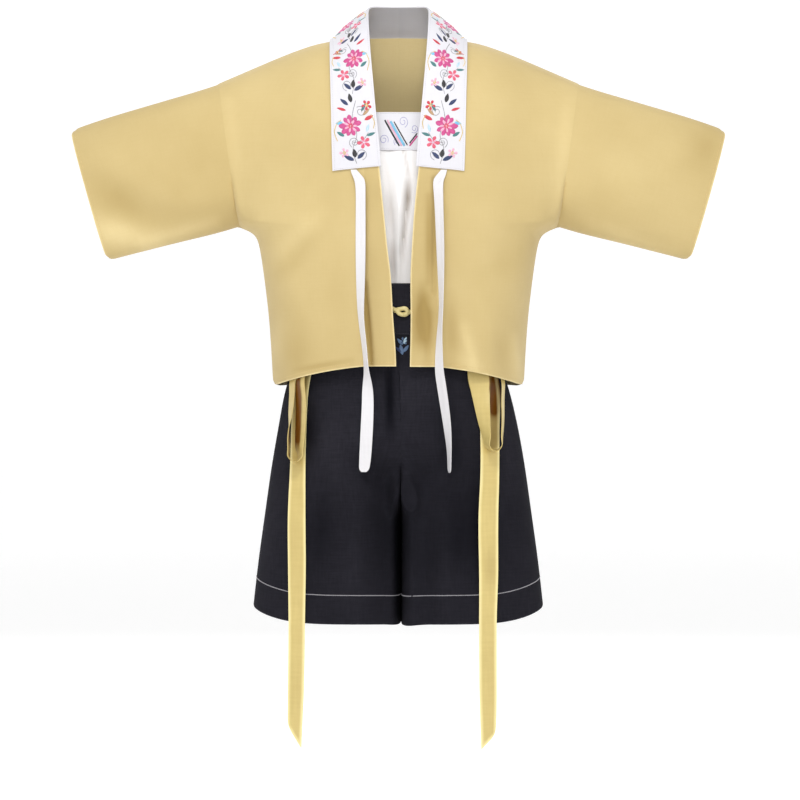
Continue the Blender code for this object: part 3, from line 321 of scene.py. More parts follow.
# Cotton voile: thin, soft and slightly warm
# Its tint is the colour of the painted shade in the camisole's folds
VOILE = Weave("white cotton voile", "#EFEDED", "#EBE9E8", "#A89E95", 1.0, 3.0, 0.4, 0.85, 0.15,
              0.06)
# Washed cotton twill dyed near-black navy: matte, its fine slanting ribs catch a little light
# Its tint is the colour of the painted shade on the shorts
SHORTS = Weave("near-black navy cotton twill", "#27262C", "#302F36", "#101015", 1.4, 2.4, 0.7,
               1.0, 0.0, 0.15, shine=0.05, grain_turn=math.pi / 4, hem="#5A595F", hem_mm=1.8)
# Polyester satin ribbon: smooth, with a soft gloss on its turns; its brown tint is painted shade
# inside the loops and on the tails behind them, and its pale hem colour a painted highlight along
# its edges
SATIN = Weave("yellow polyester satin", "#D4BF7B", "#C8B26E", "#683C00", 0.8, 4.0, 0.5, 0.38,
              0.0, 0.03, shine=0.4, hem="#F6E8AA", hem_mm=5.0)

# Mercerised cotton embroidery threads: clear colours with a silky gloss along each stitch
MAGENTA = Thread("magenta embroidery cotton", "#CF4A8C")
ROSE = Thread("rose embroidery cotton", "#E25C76")
BLUSH = Thread("pale pink embroidery cotton", "#EDB4CC")
RED = Thread("red embroidery cotton", "#D23A4A")
YELLOW = Thread("yellow embroidery cotton", "#E5C469")
BLACK = Thread("black embroidery cotton", "#242226")
NAVY = Thread("navy embroidery cotton", "#2C3B66")
TEAL = Thread("teal embroidery cotton", "#477F80")
SKY = Thread("light blue embroidery cotton", "#7CC4E6")
ICE = Thread("pale blue embroidery cotton", "#BFDDEE")
GREY = Thread("grey embroidery cotton", "#6E6C70")
TAN = Thread("tan embroidery cotton", "#BE9A74")
VIOLET = Thread("violet embroidery cotton", "#6C66B8")
DENIM = Thread("denim blue embroidery cotton", "#5B779C")
# Spun polyester sewing threads: thin, dull and pulled tight
PALE_SEWING = Thread("light grey sewing thread", "#A3A1A6", 0.7)
GOLD_SEWING = Thread("golden sewing thread", "#D9BC80", 0.7)
WHITE_SEWING = Thread("white sewing thread", "#C8C6CD", 0.7)
DARK_SEWING = Thread("navy sewing thread", "#34333A", 0.7)


def ramp(values: np.ndarray, edge: float, soft: float) -> np.ndarray:
    """Go softly from 0 below an edge to 1 above it, or the other way for soft below zero."""
    return 1 / (1 + np.exp((edge - values) / soft))


def bump(values: np.ndarray, middle: float, width: float) -> np.ndarray:
    """Go softly from 1 at the middle to 0 on both sides of it."""
    return np.exp(-((values - middle) / width) ** 2)


def edges_along(values: np.ndarray, height: np.ndarray,
                step: float = 6 * MM) -> tuple[np.ndarray, np.ndarray]:
    """Find the least and the greatest value along a piece, row by row.

    Args:
        values: the points' places across or in depth.
        height: the points' heights.
        step: how high a row is.

    Returns:
        The least and the greatest value at each point's height.
    """
    rows = np.unique(height // step)
    least = [values[height // step == row].min() for row in rows]
    greatest = [values[height // step == row].max() for row in rows]
    middles = (rows + 0.5) * step
    return np.interp(height, middles, least), np.interp(height, middles, greatest)


@dataclass(frozen=True)
class Crease:
    """A soft trough or ridge between two places in the front or back view.

    Depth is above zero for a ridge. Below is how much of it is left at its ends.
    """

    x1: float
    z1: float
    x2: float
    z2: float
    width: float
    depth: float
    ends: float = 0.2

    def on(self, sign: int) -> "Crease":
        """The same crease on the wearer's left (1) or mirrored to the right (-1)."""
        return replace(self, x1=sign * self.x1, x2=sign * self.x2)


def crease_lift(creases: Iterable[Crease], points: np.ndarray) -> np.ndarray:
    """Work out how far creases lift the cloth.

    Args:
        creases: the troughs and ridges.
        points: places as rows of x, y and z.

    Returns:
        The lift at each place, in metres.
    """
    lift = np.zeros(len(points))
    flat = points[:, [0, 2]]
    for crease in creases:
        start = np.array([crease.x1, crease.z1])
        run = np.array([crease.x2, crease.z2]) - start
        along = np.clip((flat - start) @ run / (run @ run), 0, 1)
        distance = np.linalg.norm(flat - start - along[:, None] * run, axis=1)
        fade = crease.ends + (1 - crease.ends) * np.sin(math.pi * along)
        lift += crease.depth * fade * bump(distance, 0, crease.width)
    return lift


def read_points(mesh: bpy.types.Mesh) -> np.ndarray:
    """The mesh's points, one row each."""
    flat = np.empty(len(mesh.vertices) * 3)
    mesh.vertices.foreach_get("co", flat)
    return flat.reshape(-1, 3)


def write_points(mesh: bpy.types.Mesh, points: np.ndarray) -> None:
    """Put new places into a mesh."""
    mesh.vertices.foreach_set("co", points.ravel())
    mesh.update()


def plain_mesh(thing: bpy.types.Object) -> None:
    """Turn an object's modifiers into its own mesh, and remove them."""
    graph = bpy.context.evaluated_depsgraph_get()
    mesh = bpy.data.meshes.new_from_object(thing.evaluated_get(graph))
    thing.modifiers.clear()
    thing.data = mesh


def store(mesh: bpy.types.Mesh, name: str, values: Sequence[float]) -> None:
    """Keep a value for each point of a mesh."""
    attribute = mesh.attributes.get(name) or mesh.attributes.new(name, "FLOAT", "POINT")
    attribute.data.foreach_set("value", np.asarray(values, dtype=np.float32))


def lay_flat(mesh: bpy.types.Mesh, lay: Lay, centre: tuple[float, float], side: int) -> None:
    """Give a mesh its pattern plane as a UV map in metres.

    Args:
        mesh: the fine mesh.
        lay: how the cloth is flattened.
        centre: x and y of the line that upright cloth goes round.
        side: -1 or 1, for the arm's side.
    """
    points = read_points(mesh)
    if lay is Lay.UPRIGHT:
        away = points[:, :2] - np.array(centre)
        reach = float(np.mean(np.linalg.norm(away, axis=1)))
        flat = np.stack([np.arctan2(away[:, 0], -away[:, 1]) * reach, points[:, 2]], axis=1)
    elif lay is Lay.ALONG_ARM:
        slope = math.radians(17)
        along = side * points[:, 0] * math.cos(slope) - points[:, 2] * math.sin(slope)
        drop = side * points[:, 0] * math.sin(slope) + points[:, 2] * math.cos(slope)
        flat = np.stack([along, drop + np.sign(points[:, 1]) * 0.5], axis=1)
    else:
        flat = points[:, [0, 2]]
    layer = mesh.uv_layers.new(name="cloth")
    corners = np.empty(len(mesh.loops), dtype=int)
    mesh.loops.foreach_get("vertex_index", corners)
    layer.data.foreach_set("uv", flat[corners].ravel())


@dataclass(frozen=True)
class RimSpot:
    """A place on a cloth's cut edge, and the way out of the cloth there."""

    place: Vector
    out: Vector


def looks(way: tuple[float, float, float]) -> Callable[[RimSpot], bool]:
    """Tell which places on a cut edge look a given way."""
    return lambda spot: spot.out.dot(Vector(way)) > 0.7


def find_rim(shape: bmesh.types.BMesh) -> list[bmesh.types.BMFace]:
    """Find the narrow faces round a wall's cut edge, and keep the wall's sharp edges.

    Args:
        shape: the wall.

    Returns:
        The narrow faces.
    """
    thickest = 2.6 * MM
    sharp = math.radians(62)
    crease = shape.edges.layers.float.new("crease_edge")
    for edge in shape.edges:
        if len(edge.link_faces) == 2 and edge.calc_face_angle(0) > sharp:
            edge[crease] = 1
    return [face for face in shape.faces
            if min(edge.calc_length() for edge in face.edges) < thickest
            and sum(edge[crease] for edge in face.edges) >= 2]


def find_corners(mesh: bpy.types.Mesh) -> dict[int, Vector]:
    """Find the points on a wall's cut edge, whose faces have material 1.

    Args:
        mesh: the fine wall.

    Returns:
        Each point with the normal of the wall beside it, or zero inside the cut edge.
    """
    corners = {point: Vector() for face in mesh.polygons if face.material_index
               for point in face.vertices}
    for face in mesh.polygons:
        if not face.material_index:
            for point in face.vertices:
                if point in corners:
                    corners[point] += face.normal
    return corners


def fine_shell(name: str, node: bpy.types.Object,
               levels: int) -> tuple[bpy.types.Object, list[RimSpot], dict[int, Vector]]:
    """Make a fine, smooth shell on a solid's form.

    Args:
        name: the new piece's name.
        node: the solid.
        levels: how often each face is divided.

    Returns:
        The piece, places along its cut edges, and its points on them with the wall's normals.
    """
    shape = bmesh.new()
    shape.from_mesh(node.data)
    bmesh.ops.remove_doubles(shape, verts=shape.verts, dist=0.01 * MM)
    bmesh.ops.join_triangles(shape, faces=shape.faces, angle_face_threshold=math.radians(35),
                             angle_shape_threshold=math.radians(100), cmp_seam=False,
                             cmp_sharp=False, cmp_uvs=False, cmp_vcols=False, cmp_materials=False)
    spots = []
    for face in find_rim(shape):
        face.material_index = 1
        out = face.normal.copy()
        for edge in sorted(face.edges, key=lambda edge: edge.calc_length())[-2:]:
            count = max(2, round(edge.calc_length() / SPOT_STEP))
            spots += [RimSpot(edge.verts[0].co.lerp(edge.verts[1].co, t / count), out)
                      for t in range(count + 1)]
    mesh = bpy.data.meshes.new(name)
    shape.to_mesh(mesh)
    shape.free()
    carried = mesh.attributes.get("custom_normal")
    if carried:
        mesh.attributes.remove(carried)
    piece = bpy.data.objects.new(name, mesh)
    bpy.context.scene.collection.objects.link(piece)
    divide = piece.modifiers.new("divide", "SUBSURF")
    divide.levels = levels
    divide.render_levels = levels
    plain_mesh(piece)
    piece.data.name = name
    corners = find_corners(piece.data)
    faces = piece.data.polygons
    faces.foreach_set("material_index", [0] * len(faces))
    return piece, spots, corners


def arm_z(x: float) -> float:
    """The height of the sleeve's middle at a distance from the body's middle."""
    return -0.155 - (x - 0.2535) * 0.29


def from_axis(x: float, y: float) -> Aim:
    """The way out of an upright tube whose middle is at x and y."""
    return lambda place: Vector((place.x - x, place.y - y, 0)).normalized()


def from_arm(place: Vector) -> Vector:
    """The way out of a sleeve."""
    return Vector((0, place.y, place.z - arm_z(abs(place.x)))).normalized()


def from_front(place: Vector) -> Vector:
    """The way out of cloth that faces the front."""
    return Vector((0, -1, 0))


@dataclass(frozen=True)
class Cut:
    """The size a sheet was cut to."""

    width: float
    length: float
    area: float | None = None
    held: str = "hung"


class Piece:
    """One cloth piece that stands for one solid."""

    def __init__(self, frame: dict, node: str, weave: Weave, slot: str, levels: int = 3,
                 lay: Lay = Lay.UPRIGHT, centre: tuple[float, float] = (0.0, 0.0)) -> None:
        """Make the shell from its solid.

        Args:
            frame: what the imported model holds.
            node: the solid's name.
            weave: the cloth.
            slot: the record's material slot.
            levels: how often each face is divided.
            lay: how the cloth is flattened.
            centre: the line that upright cloth goes round.
        """
        self.node = node
        self.slot = slot
        self.out: Aim = from_axis(*centre)
        self.thing, self.rim, self.edge = fine_shell(f"{node}_cloth", frame["nodes"][node], levels)
        self.mesh = self.thing.data
        self.mesh.materials.clear()
        self.mesh.materials.append(weave.material())
        lay_flat(self.mesh, lay, centre, 1 if node.endswith("left") else -1)

    def press(self, creases: Iterable[Crease], way: int = -1) -> None:
        """Press creases into the cloth, whose outside looks to -Y or +Y by way."""
        points = read_points(self.mesh)
        points[:, 1] += crease_lift(creases, points) * way
        write_points(self.mesh, points)

    def move(self, shift: Field) -> None:
        """Move the cloth's points by a field of shifts."""
        points = read_points(self.mesh)
        write_points(self.mesh, points + shift(points))

    def facing_out(self, way: float) -> np.ndarray:
        """Tell which points are on the outer face.

        Args:
            way: -1 for a front and 1 for a back.

        Returns:
            1 for a point on the outer face, 0 on the inner one, and between at the edges.
        """
        facing = np.array([vertex.normal.y for vertex in self.mesh.vertices]) * way
        return 0.5 + 0.5 * np.tanh(facing / 0.1)

    def paint(self, patches: Iterable[Crease], base: float = 0.0,
              creases: Iterable[Crease] = ()) -> None:
        """Store how far the colour goes to its tint, as painted shade and painted light.

        Args:
            patches: soft patches of painted shade, whose depth is a share of the tint; below zero
                they are painted light.
            base: the tint all over.
            creases: troughs that get painted shade, and ridges that get painted light.
        """
        points = read_points(self.mesh)
        # painted shade in the creases' troughs and painted light on their ridges
        crease_shading = crease_lift(creases, points) * CREASE_SHADING_TINT
        store(self.mesh, "tone", base + crease_lift(patches, points) - crease_shading)

    def facing(self, number: int) -> int:
        """Tell whether a point on the cut edge is outside (1), inside (-1) or between (0)."""
        normal = self.edge[number]
        if normal.length == 0:
            return 0
        return 1 if normal.dot(self.out(self.mesh.vertices[number].co)) > 0 else -1

    def join(self, other: "Piece", low: float = -2.0) -> None:
        """Move the cut edge's points onto a neighbour's, so that their seam closes.

        Args:
            other: the neighbour.
            low: the seam's lowest height.
        """
        for side in (-1, 0, 1):
            numbers = [number for number in other.edge if other.facing(number) == side]
            tree = KDTree(len(numbers))
            for number in numbers:
                tree.insert(other.mesh.vertices[number].co, number)
            tree.balance()
            for number in self.edge:
                vertex = self.mesh.vertices[number]
                if self.facing(number) == side and vertex.co.z > low:
                    place, _, distance = tree.find(vertex.co)
                    if distance < SEAM_REACH:
                        vertex.co = place

    def mark_hem(self, keep: Callable[[RimSpot], bool]) -> None:
        """Store every point's distance from the cut edges that are a hem.

        Args:
            keep: tells whether a place on the edge is part of a hem.
        """
        places = [spot.place for spot in self.rim if keep(spot)]
        distances = [1.0] * len(self.mesh.vertices)
        if places:
            tree = KDTree(len(places))
            for number, place in enumerate(places):
                tree.insert(place, number)
            tree.balance()
            distances = [tree.find(vertex.co)[2] for vertex in self.mesh.vertices]
        store(self.mesh, "rim", distances)

    def skin(self) -> BVHTree:
        """A search tree of the piece's faces."""
        return BVHTree.FromPolygons([vertex.co for vertex in self.mesh.vertices],
                                    [face.vertices for face in self.mesh.polygons])

    def edge_line(self, keep: Callable[[RimSpot], bool], key: Callable[[Vector], float],
                  inset: float, lift: float = 0.0) -> list[Vector]:
        """Work out a line on the outside of the cloth, along a cut edge.

        Args:
            keep: tells whether a place on the edge is wanted.
            key: gives a place's distance along the edge, for the line's order.
            inset: how far in from the edge the line runs.
            lift: how far the line stands off the cloth.

        Returns:
            Places along the line.
        """
        step = 5 * MM
        bins: dict[int, list[RimSpot]] = {}
        for spot in self.rim:
            if keep(spot):
                bins.setdefault(int(key(spot.place) // step), []).append(spot)
        skin = self.skin()
        line = []
        for number in sorted(bins):
            spots = bins[number]
            place = sum((spot.place for spot in spots), Vector()) / len(spots)
            inward = sum((spot.out for spot in spots), Vector()).normalized() * -inset
            out = self.out(place)
            hit, normal = skin.ray_cast(place + inward + out * 0.03, -out, 0.06)[:2]
            if hit:
                line.append(hit + normal * lift)
        return line

    def finish(self, cut: Cut | None) -> None:
        """Store a missing rim and tone, shade the piece smooth, let it ride on the body, hide its
        solid and log its faces and area.
        """
        for name in ("rim", "tone"):
            if name not in self.mesh.attributes:
                store(self.mesh, name, [1.0 if name == "rim" else 0.0] * len(self.mesh.vertices))
        self.mesh.shade_smooth()
        self.mesh.set_sharp_from_angle(angle=math.radians(50))
        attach(self.thing, BODY)
        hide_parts(self.node)
        area = sum(face.area for face in self.mesh.polygons) / 2
        log.info("%s: %d faces, %.4f m2", self.thing.name, len(self.mesh.polygons), area)


def new_tree(name: str, numbers: dict[str, float], counts: dict[str, int]) -> tuple:
    """Start a Geometry Nodes tree with named inputs.

    Args:
        name: the tree's name.
        numbers: its sizes, with their usual values.
        counts: its whole numbers, with their usual values.

    Returns:
        The tree and its input node.
    """
    tree = bpy.data.node_groups.new(name, "GeometryNodeTree")
    face = tree.interface
    face.new_socket("Geometry", in_out="INPUT", socket_type="NodeSocketGeometry")
    for kind, values in (("NodeSocketFloat", numbers), ("NodeSocketInt", counts)):
        for label, value in values.items():
            face.new_socket(label, in_out="INPUT", socket_type=kind).default_value = value
    face.new_socket("Thread", in_out="INPUT", socket_type="NodeSocketMaterial")
    face.new_socket("Geometry", in_out="OUTPUT", socket_type="NodeSocketGeometry")
    return tree, add_node(tree, "NodeGroupInput")


def end_tree(tree: bpy.types.NodeTree, inlet: bpy.types.Node, points: bpy.types.NodeSocket,
             shape: bpy.types.NodeSocket, rotation: bpy.types.NodeSocket,
             scale: bpy.types.NodeSocket) -> None:
    """Put a shape on points, make it real and give it its thread.

    Args:
        tree: the tree.
        inlet: its input node.
        points: where the shapes go.
        shape: what is repeated.
        rotation: each one's turn.
        scale: each one's size.
    """
    copies = add_node(tree, "GeometryNodeInstanceOnPoints", None,
                      {"Points": points, "Instance": shape, "Rotation": rotation, "Scale": scale})
    real = add_node(tree, "GeometryNodeRealizeInstances", None,
                    {"Geometry": copies.outputs["Instances"]})
    dyed = add_node(tree, "GeometryNodeSetMaterial", None,
                    {"Geometry": real.outputs["Geometry"], "Material": inlet.outputs["Thread"]})
    add_node(tree, "NodeGroupOutput", None, {"Geometry": dyed.outputs["Geometry"]})


def stitch_tree() -> bpy.types.NodeTree:
    """The tree that lays stitches along a line of edges, built once."""
    name = "stitches along a line"
    if name in bpy.data.node_groups:
        return bpy.data.node_groups[name]
    tree, inlet = new_tree(name, {"Pitch": 3 * MM, "Length": 2.6 * MM, "Thickness": 0.7 * MM,
                                  "Uneven": 0.12}, {"Seed": 5})
    line = add_node(tree, "GeometryNodeMeshToCurve", None, {"Mesh": inlet.outputs["Geometry"]})
    spots = add_node(tree, "GeometryNodeCurveToPoints", {"mode": "LENGTH"},
                     {"Curve": line.outputs["Curve"], "Length": inlet.outputs["Pitch"]})
    bead = add_node(tree, "GeometryNodeMeshUVSphere", {"Segments": 6, "Rings": 4, "Radius": 0.5})
    uneven = add_node(tree, "FunctionNodeRandomValue", {2: -1.0, 3: 1.0},
                      {"Seed": inlet.outputs["Seed"]})
    change = add_node(tree, "ShaderNodeMath", {"operation": "MULTIPLY_ADD", 2: 1.0},
                      {0: uneven.outputs[1], 1: inlet.outputs["Uneven"]})
    length = add_node(tree, "ShaderNodeMath", {"operation": "MULTIPLY"},
                      {0: change.outputs[0], 1: inlet.outputs["Length"]})
    size = add_node(tree, "ShaderNodeCombineXYZ", None,
                    {"X": inlet.outputs["Thickness"], "Y": inlet.outputs["Thickness"],
                     "Z": length.outputs[0]})
    end_tree(tree, inlet, spots.outputs["Points"], bead.outputs["Mesh"],
             spots.outputs["Rotation"], size.outputs[0])
    return tree


def bloom_tree() -> bpy.types.NodeTree:
    """The tree that turns copies of a petal round a flower's heart, built once."""
    name = "petals round a heart"
    if name in bpy.data.node_groups:
        return bpy.data.node_groups[name]
    tree, inlet = new_tree(name, {"Turn": 0.0, "Uneven": 0.1}, {"Petals": 5, "Seed": 5})
    spots = add_node(tree, "GeometryNodePoints", None, {"Count": inlet.outputs["Petals"]})
    number = add_node(tree, "GeometryNodeInputIndex").outputs[0]
    share = add_node(tree, "ShaderNodeMath", {"operation": "DIVIDE"},
                     {0: number, 1: inlet.outputs["Petals"]})
    uneven = add_node(tree, "FunctionNodeRandomValue", {2: -1.0, 3: 1.0},
                      {"Seed": inlet.outputs["Seed"]}).outputs[1]
    start = add_node(tree, "ShaderNodeMath", {"operation": "MULTIPLY_ADD", 1: 2 * math.pi},
                     {0: share.outputs[0], 2: inlet.outputs["Turn"]})
    angle = add_node(tree, "ShaderNodeMath", {"operation": "MULTIPLY_ADD"},
                     {0: uneven, 1: inlet.outputs["Uneven"], 2: start.outputs[0]})
    turn = add_node(tree, "ShaderNodeCombineXYZ", None, {"Z": angle.outputs[0]})
    change = add_node(tree, "ShaderNodeMath", {"operation": "MULTIPLY_ADD", 2: 1.0},
                      {0: uneven, 1: inlet.outputs["Uneven"]})
    size = add_node(tree, "ShaderNodeCombineXYZ", None,
                    {axis: change.outputs[0] for axis in "XYZ"})
    end_tree(tree, inlet, spots.outputs[0], inlet.outputs["Geometry"], turn.outputs[0],
             size.outputs[0])
    return tree


def grow(mesh: bpy.types.Mesh, tree: bpy.types.NodeTree, values: dict) -> bpy.types.Mesh:
    """Run a tree on a mesh.

    Args:
        mesh: what the tree starts from.
        tree: the tree.
        values: its inputs by name.

    Returns:
        The plain mesh that it makes.
    """
    thing = bpy.data.objects.new(mesh.name, mesh)
    bpy.context.scene.collection.objects.link(thing)
    modifier = thing.modifiers.new("grow", "NODES")
    modifier.node_group = tree
    for item in tree.interface.items_tree:
        if item.in_out == "INPUT" and item.name in values:
            modifier[item.identifier] = values[item.name]
    plain_mesh(thing)
    grown = thing.data
    bpy.data.objects.remove(thing)
    return grown


def line_mesh(lines: Sequence[Sequence[Vector]]) -> bpy.types.Mesh:
    """A mesh of edges along lines of places."""
    points, edges = [], []
    for line in lines:
        edges += [(len(points) + i, len(points) + i + 1) for i in range(len(line) - 1)]
        points += list(line)
    mesh = bpy.data.meshes.new("lines")
    mesh.from_pydata(points, edges, [])
    return mesh


def pad_mesh(shape: Pad, length: float, width: float, rise: float, foot: float) -> bpy.types.Mesh:
    """Make a padded satin-stitch shape that points along +Y in the pattern plane.

    Args:
        shape: its outline.
        length: its length.
        width: its greatest width.
        rise: its height in the middle.
        foot: how far from the origin it starts.

    Returns:
        The closed mesh.
    """
    rows, columns, sink = 8, 4, 0.3 * MM
    top, low = [], []
    for i in range(rows + 1):
        t = i / rows
        if shape is Pad.LEAF:
            share = math.sin(math.pi * t ** 0.85) ** 0.8
        elif shape is Pad.PETAL:
            share = math.sin(math.pi * t ** 1.5) ** 0.6
        else:
            share = 1.0 if 0 < i < rows else 0.85
        share = max(share, 0.04)
        for j in range(columns + 1):
            s = 2 * j / columns - 1
            x, y = s * width / 2 * share, foot + t * length
            top.append((x, y, rise * (1 - s * s) * min(share * 1.6, 1)))
            low.append((x, y, -sink))
    faces = []
    count = len(top)
    step = columns + 1
    for i in range(rows):
        for j in range(columns):
            a = i * step + j
            faces.append((a, a + 1, a + step + 1, a + step))
            faces.append((count + a, count + a + step, count + a + step + 1, count + a + 1))
    edge = [j for j in range(step)] + [i * step + columns for i in range(1, rows + 1)]
    edge += [rows * step + j for j in range(columns - 1, -1, -1)]
    edge += [i * step for i in range(rows - 1, 0, -1)]
    for a, b in zip(edge, edge[1:] + edge[:1]):
        faces.append((b, a, count + a, count + b))
    mesh = bpy.data.meshes.new("pad")
    mesh.from_pydata(top + low, [], faces)
    return mesh


def smooth_line(guides: Sequence[tuple[float, float]], steps: int = 8) -> Line:
    """A smooth line through guide places in the pattern plane.

    Args:
        guides: the places.
        steps: points between two of them.

    Returns:
        The line's points.
    """
    held = np.array([guides[0], *guides, guides[-1]], dtype=float)
    line = []
    for i in range(1, len(held) - 2):
        a, b, c, d = held[i - 1:i + 3]
        for step in range(steps):
            t = step / steps
            line.append(tuple(0.5 * (2 * b + (c - a) * t + (2 * a - 5 * b + 4 * c - d) * t * t
                                     + (3 * b - a - 3 * c + d) * t ** 3)))
    line.append(tuple(held[-1]))
    return line


def curl_line(u: float, v: float, size: float, turn: float, hand: int) -> Line:
    """A scroll that starts at a place and winds in.

    Args:
        u: the start, across.
        v: the start, up.
        size: the scroll's width.
        turn: the way it sets off, in degrees.
        hand: 1 or -1, the way it winds.

    Returns:
        The line's points.
    """
    steps = 26
    heading = math.radians(turn)
    points = [(u, v)]
    for i in range(steps):
        stride = size * 0.22 * (1 - 0.75 * i / steps)
        heading += hand * 0.34
        points.append((points[-1][0] + stride * math.cos(heading),
                       points[-1][1] + stride * math.sin(heading)))
    return points


class Ground:
    """The outside of cloth by pattern coordinates: straight from the front, u is x and v is z."""

    def __init__(self, pieces: Iterable[Piece]) -> None:
        """Keep the skins of the pieces that the threads lie on."""
        self.skins = [piece.skin() for piece in pieces]

    def ray(self, u: float, v: float) -> tuple[Vector, Vector]:
        """Where the search for the cloth starts, and the way it goes."""
        return Vector((u, -0.6, v)), Vector((0, 1, 0))

    def at(self, u: float, v: float) -> tuple[Vector, Vector]:
        """Find the cloth at a place of the pattern.

        Args:
            u: across the cloth.
            v: up the cloth.

        Returns:
            The place on the cloth and the way out of it.
        """
        start, way = self.ray(u, v)
        hits = [skin.ray_cast(start, way, 0.6) for skin in self.skins]
        hits = [hit for hit in hits if hit[0] is not None]
        if not hits:
            near = min((skin.find_nearest(start) for skin in self.skins), key=lambda hit: hit[3])
            return near[0], -way
        hit = min(hits, key=lambda hit: hit[3])
        normal = hit[1] if hit[1].dot(way) < 0 else -hit[1]
        return hit[0], normal


class RoundGround(Ground):
    """Cloth round the body: u is the distance round from the centre front, v is z."""

    def __init__(self, pieces: Iterable[Piece], reach: float) -> None:
        """Keep the skins, and the distance from the body's middle that u is measured at."""
        super().__init__(pieces)
        self.reach = reach

    def ray(self, u: float, v: float) -> tuple[Vector, Vector]:
        """Where the search for the cloth starts, and the way it goes."""
        out = Vector((math.sin(u / self.reach), -math.cos(u / self.reach), 0))
        return out * 0.5 + Vector((0, 0, v)), -out


@dataclass(frozen=True)
class Station:
    """A line across the collar, from its outer to its inner edge. Chest places have no y."""

    outer_x: float
    outer_y: float | None
    outer_z: float
    inner_x: float
    inner_y: float | None
    inner_z: float


class CollarGround(Ground):
    """A collar half: u goes in from its outer edge, v up from its bottom edge."""

    stations = (
        Station(0.0955, None, -0.1885, 0.0255, None, -0.1820),
        Station(0.0978, None, -0.1100, 0.0318, None, -0.1120),
        Station(0.0992, None, -0.0560, 0.0372, -0.1040, -0.0540),
        Station(0.1010, None, -0.0120, 0.0423, -0.0820, 0.0040),
        Station(0.1018, None, 0.0115, 0.0449, -0.0510, 0.0400),
        Station(0.1016, -0.0060, 0.0205, 0.0455, -0.0350, 0.0515),
        Station(0.1005, 0.0230, 0.0175, 0.0460, -0.0060, 0.0640),
        Station(0.0740, 0.0720, 0.0150, 0.0360, 0.0360, 0.0738),
        Station(0.0000, 0.0940, 0.0210, 0.0000, 0.0465, 0.0747),
    )

    def __init__(self, piece: Piece, side: int) -> None:
        """Find the collar's edges.

        Args:
            piece: the collar half.
            side: -1 or 1.
        """
        super().__init__([piece])
        self.lines = [(self.edge(side, s.outer_x, s.outer_y, s.outer_z),
                       self.edge(side, s.inner_x, s.inner_y, s.inner_z)) for s in self.stations]
        middles = [(outer + inner) / 2 for outer, inner in self.lines]
        steps = [(b - a).length for a, b in zip(middles, middles[1:])]
        self.lengths = [sum(steps[:i]) for i in range(len(middles))]
        self.normals = []
        for i, (outer, inner) in enumerate(self.lines):
            along = middles[min(i + 1, len(middles) - 1)] - middles[max(i - 1, 0)]
            self.normals.append((inner - outer).cross(along).normalized() * -side)
        self.width = 0.070

    def edge(self, side: int, x: float, y: float | None, z: float) -> Vector:
        """A place on the collar's edge, found from the front where it has no y."""
        if y is not None:
            return Vector((side * x, y, z))
        hit = self.skins[0].find_nearest(Vector((side * x, -0.14, z)))[0]
        return Vector((side * x, hit.y, z))

    def ray(self, u: float, v: float) -> tuple[Vector, Vector]:
        """Where the search for the cloth starts, and the way it goes."""
        v = min(max(v, 0.0), self.lengths[-1] - MM)
        i = max(k for k, length in enumerate(self.lengths) if length <= v)
        i = min(i, len(self.lengths) - 2)
        t = (v - self.lengths[i]) / (self.lengths[i + 1] - self.lengths[i])
        outer = self.lines[i][0].lerp(self.lines[i + 1][0], t)
        inner = self.lines[i][1].lerp(self.lines[i + 1][1], t)
        normal = self.normals[i].lerp(self.normals[i + 1], t).normalized()
        return outer.lerp(inner, u / self.width) + normal * 0.02, -normal


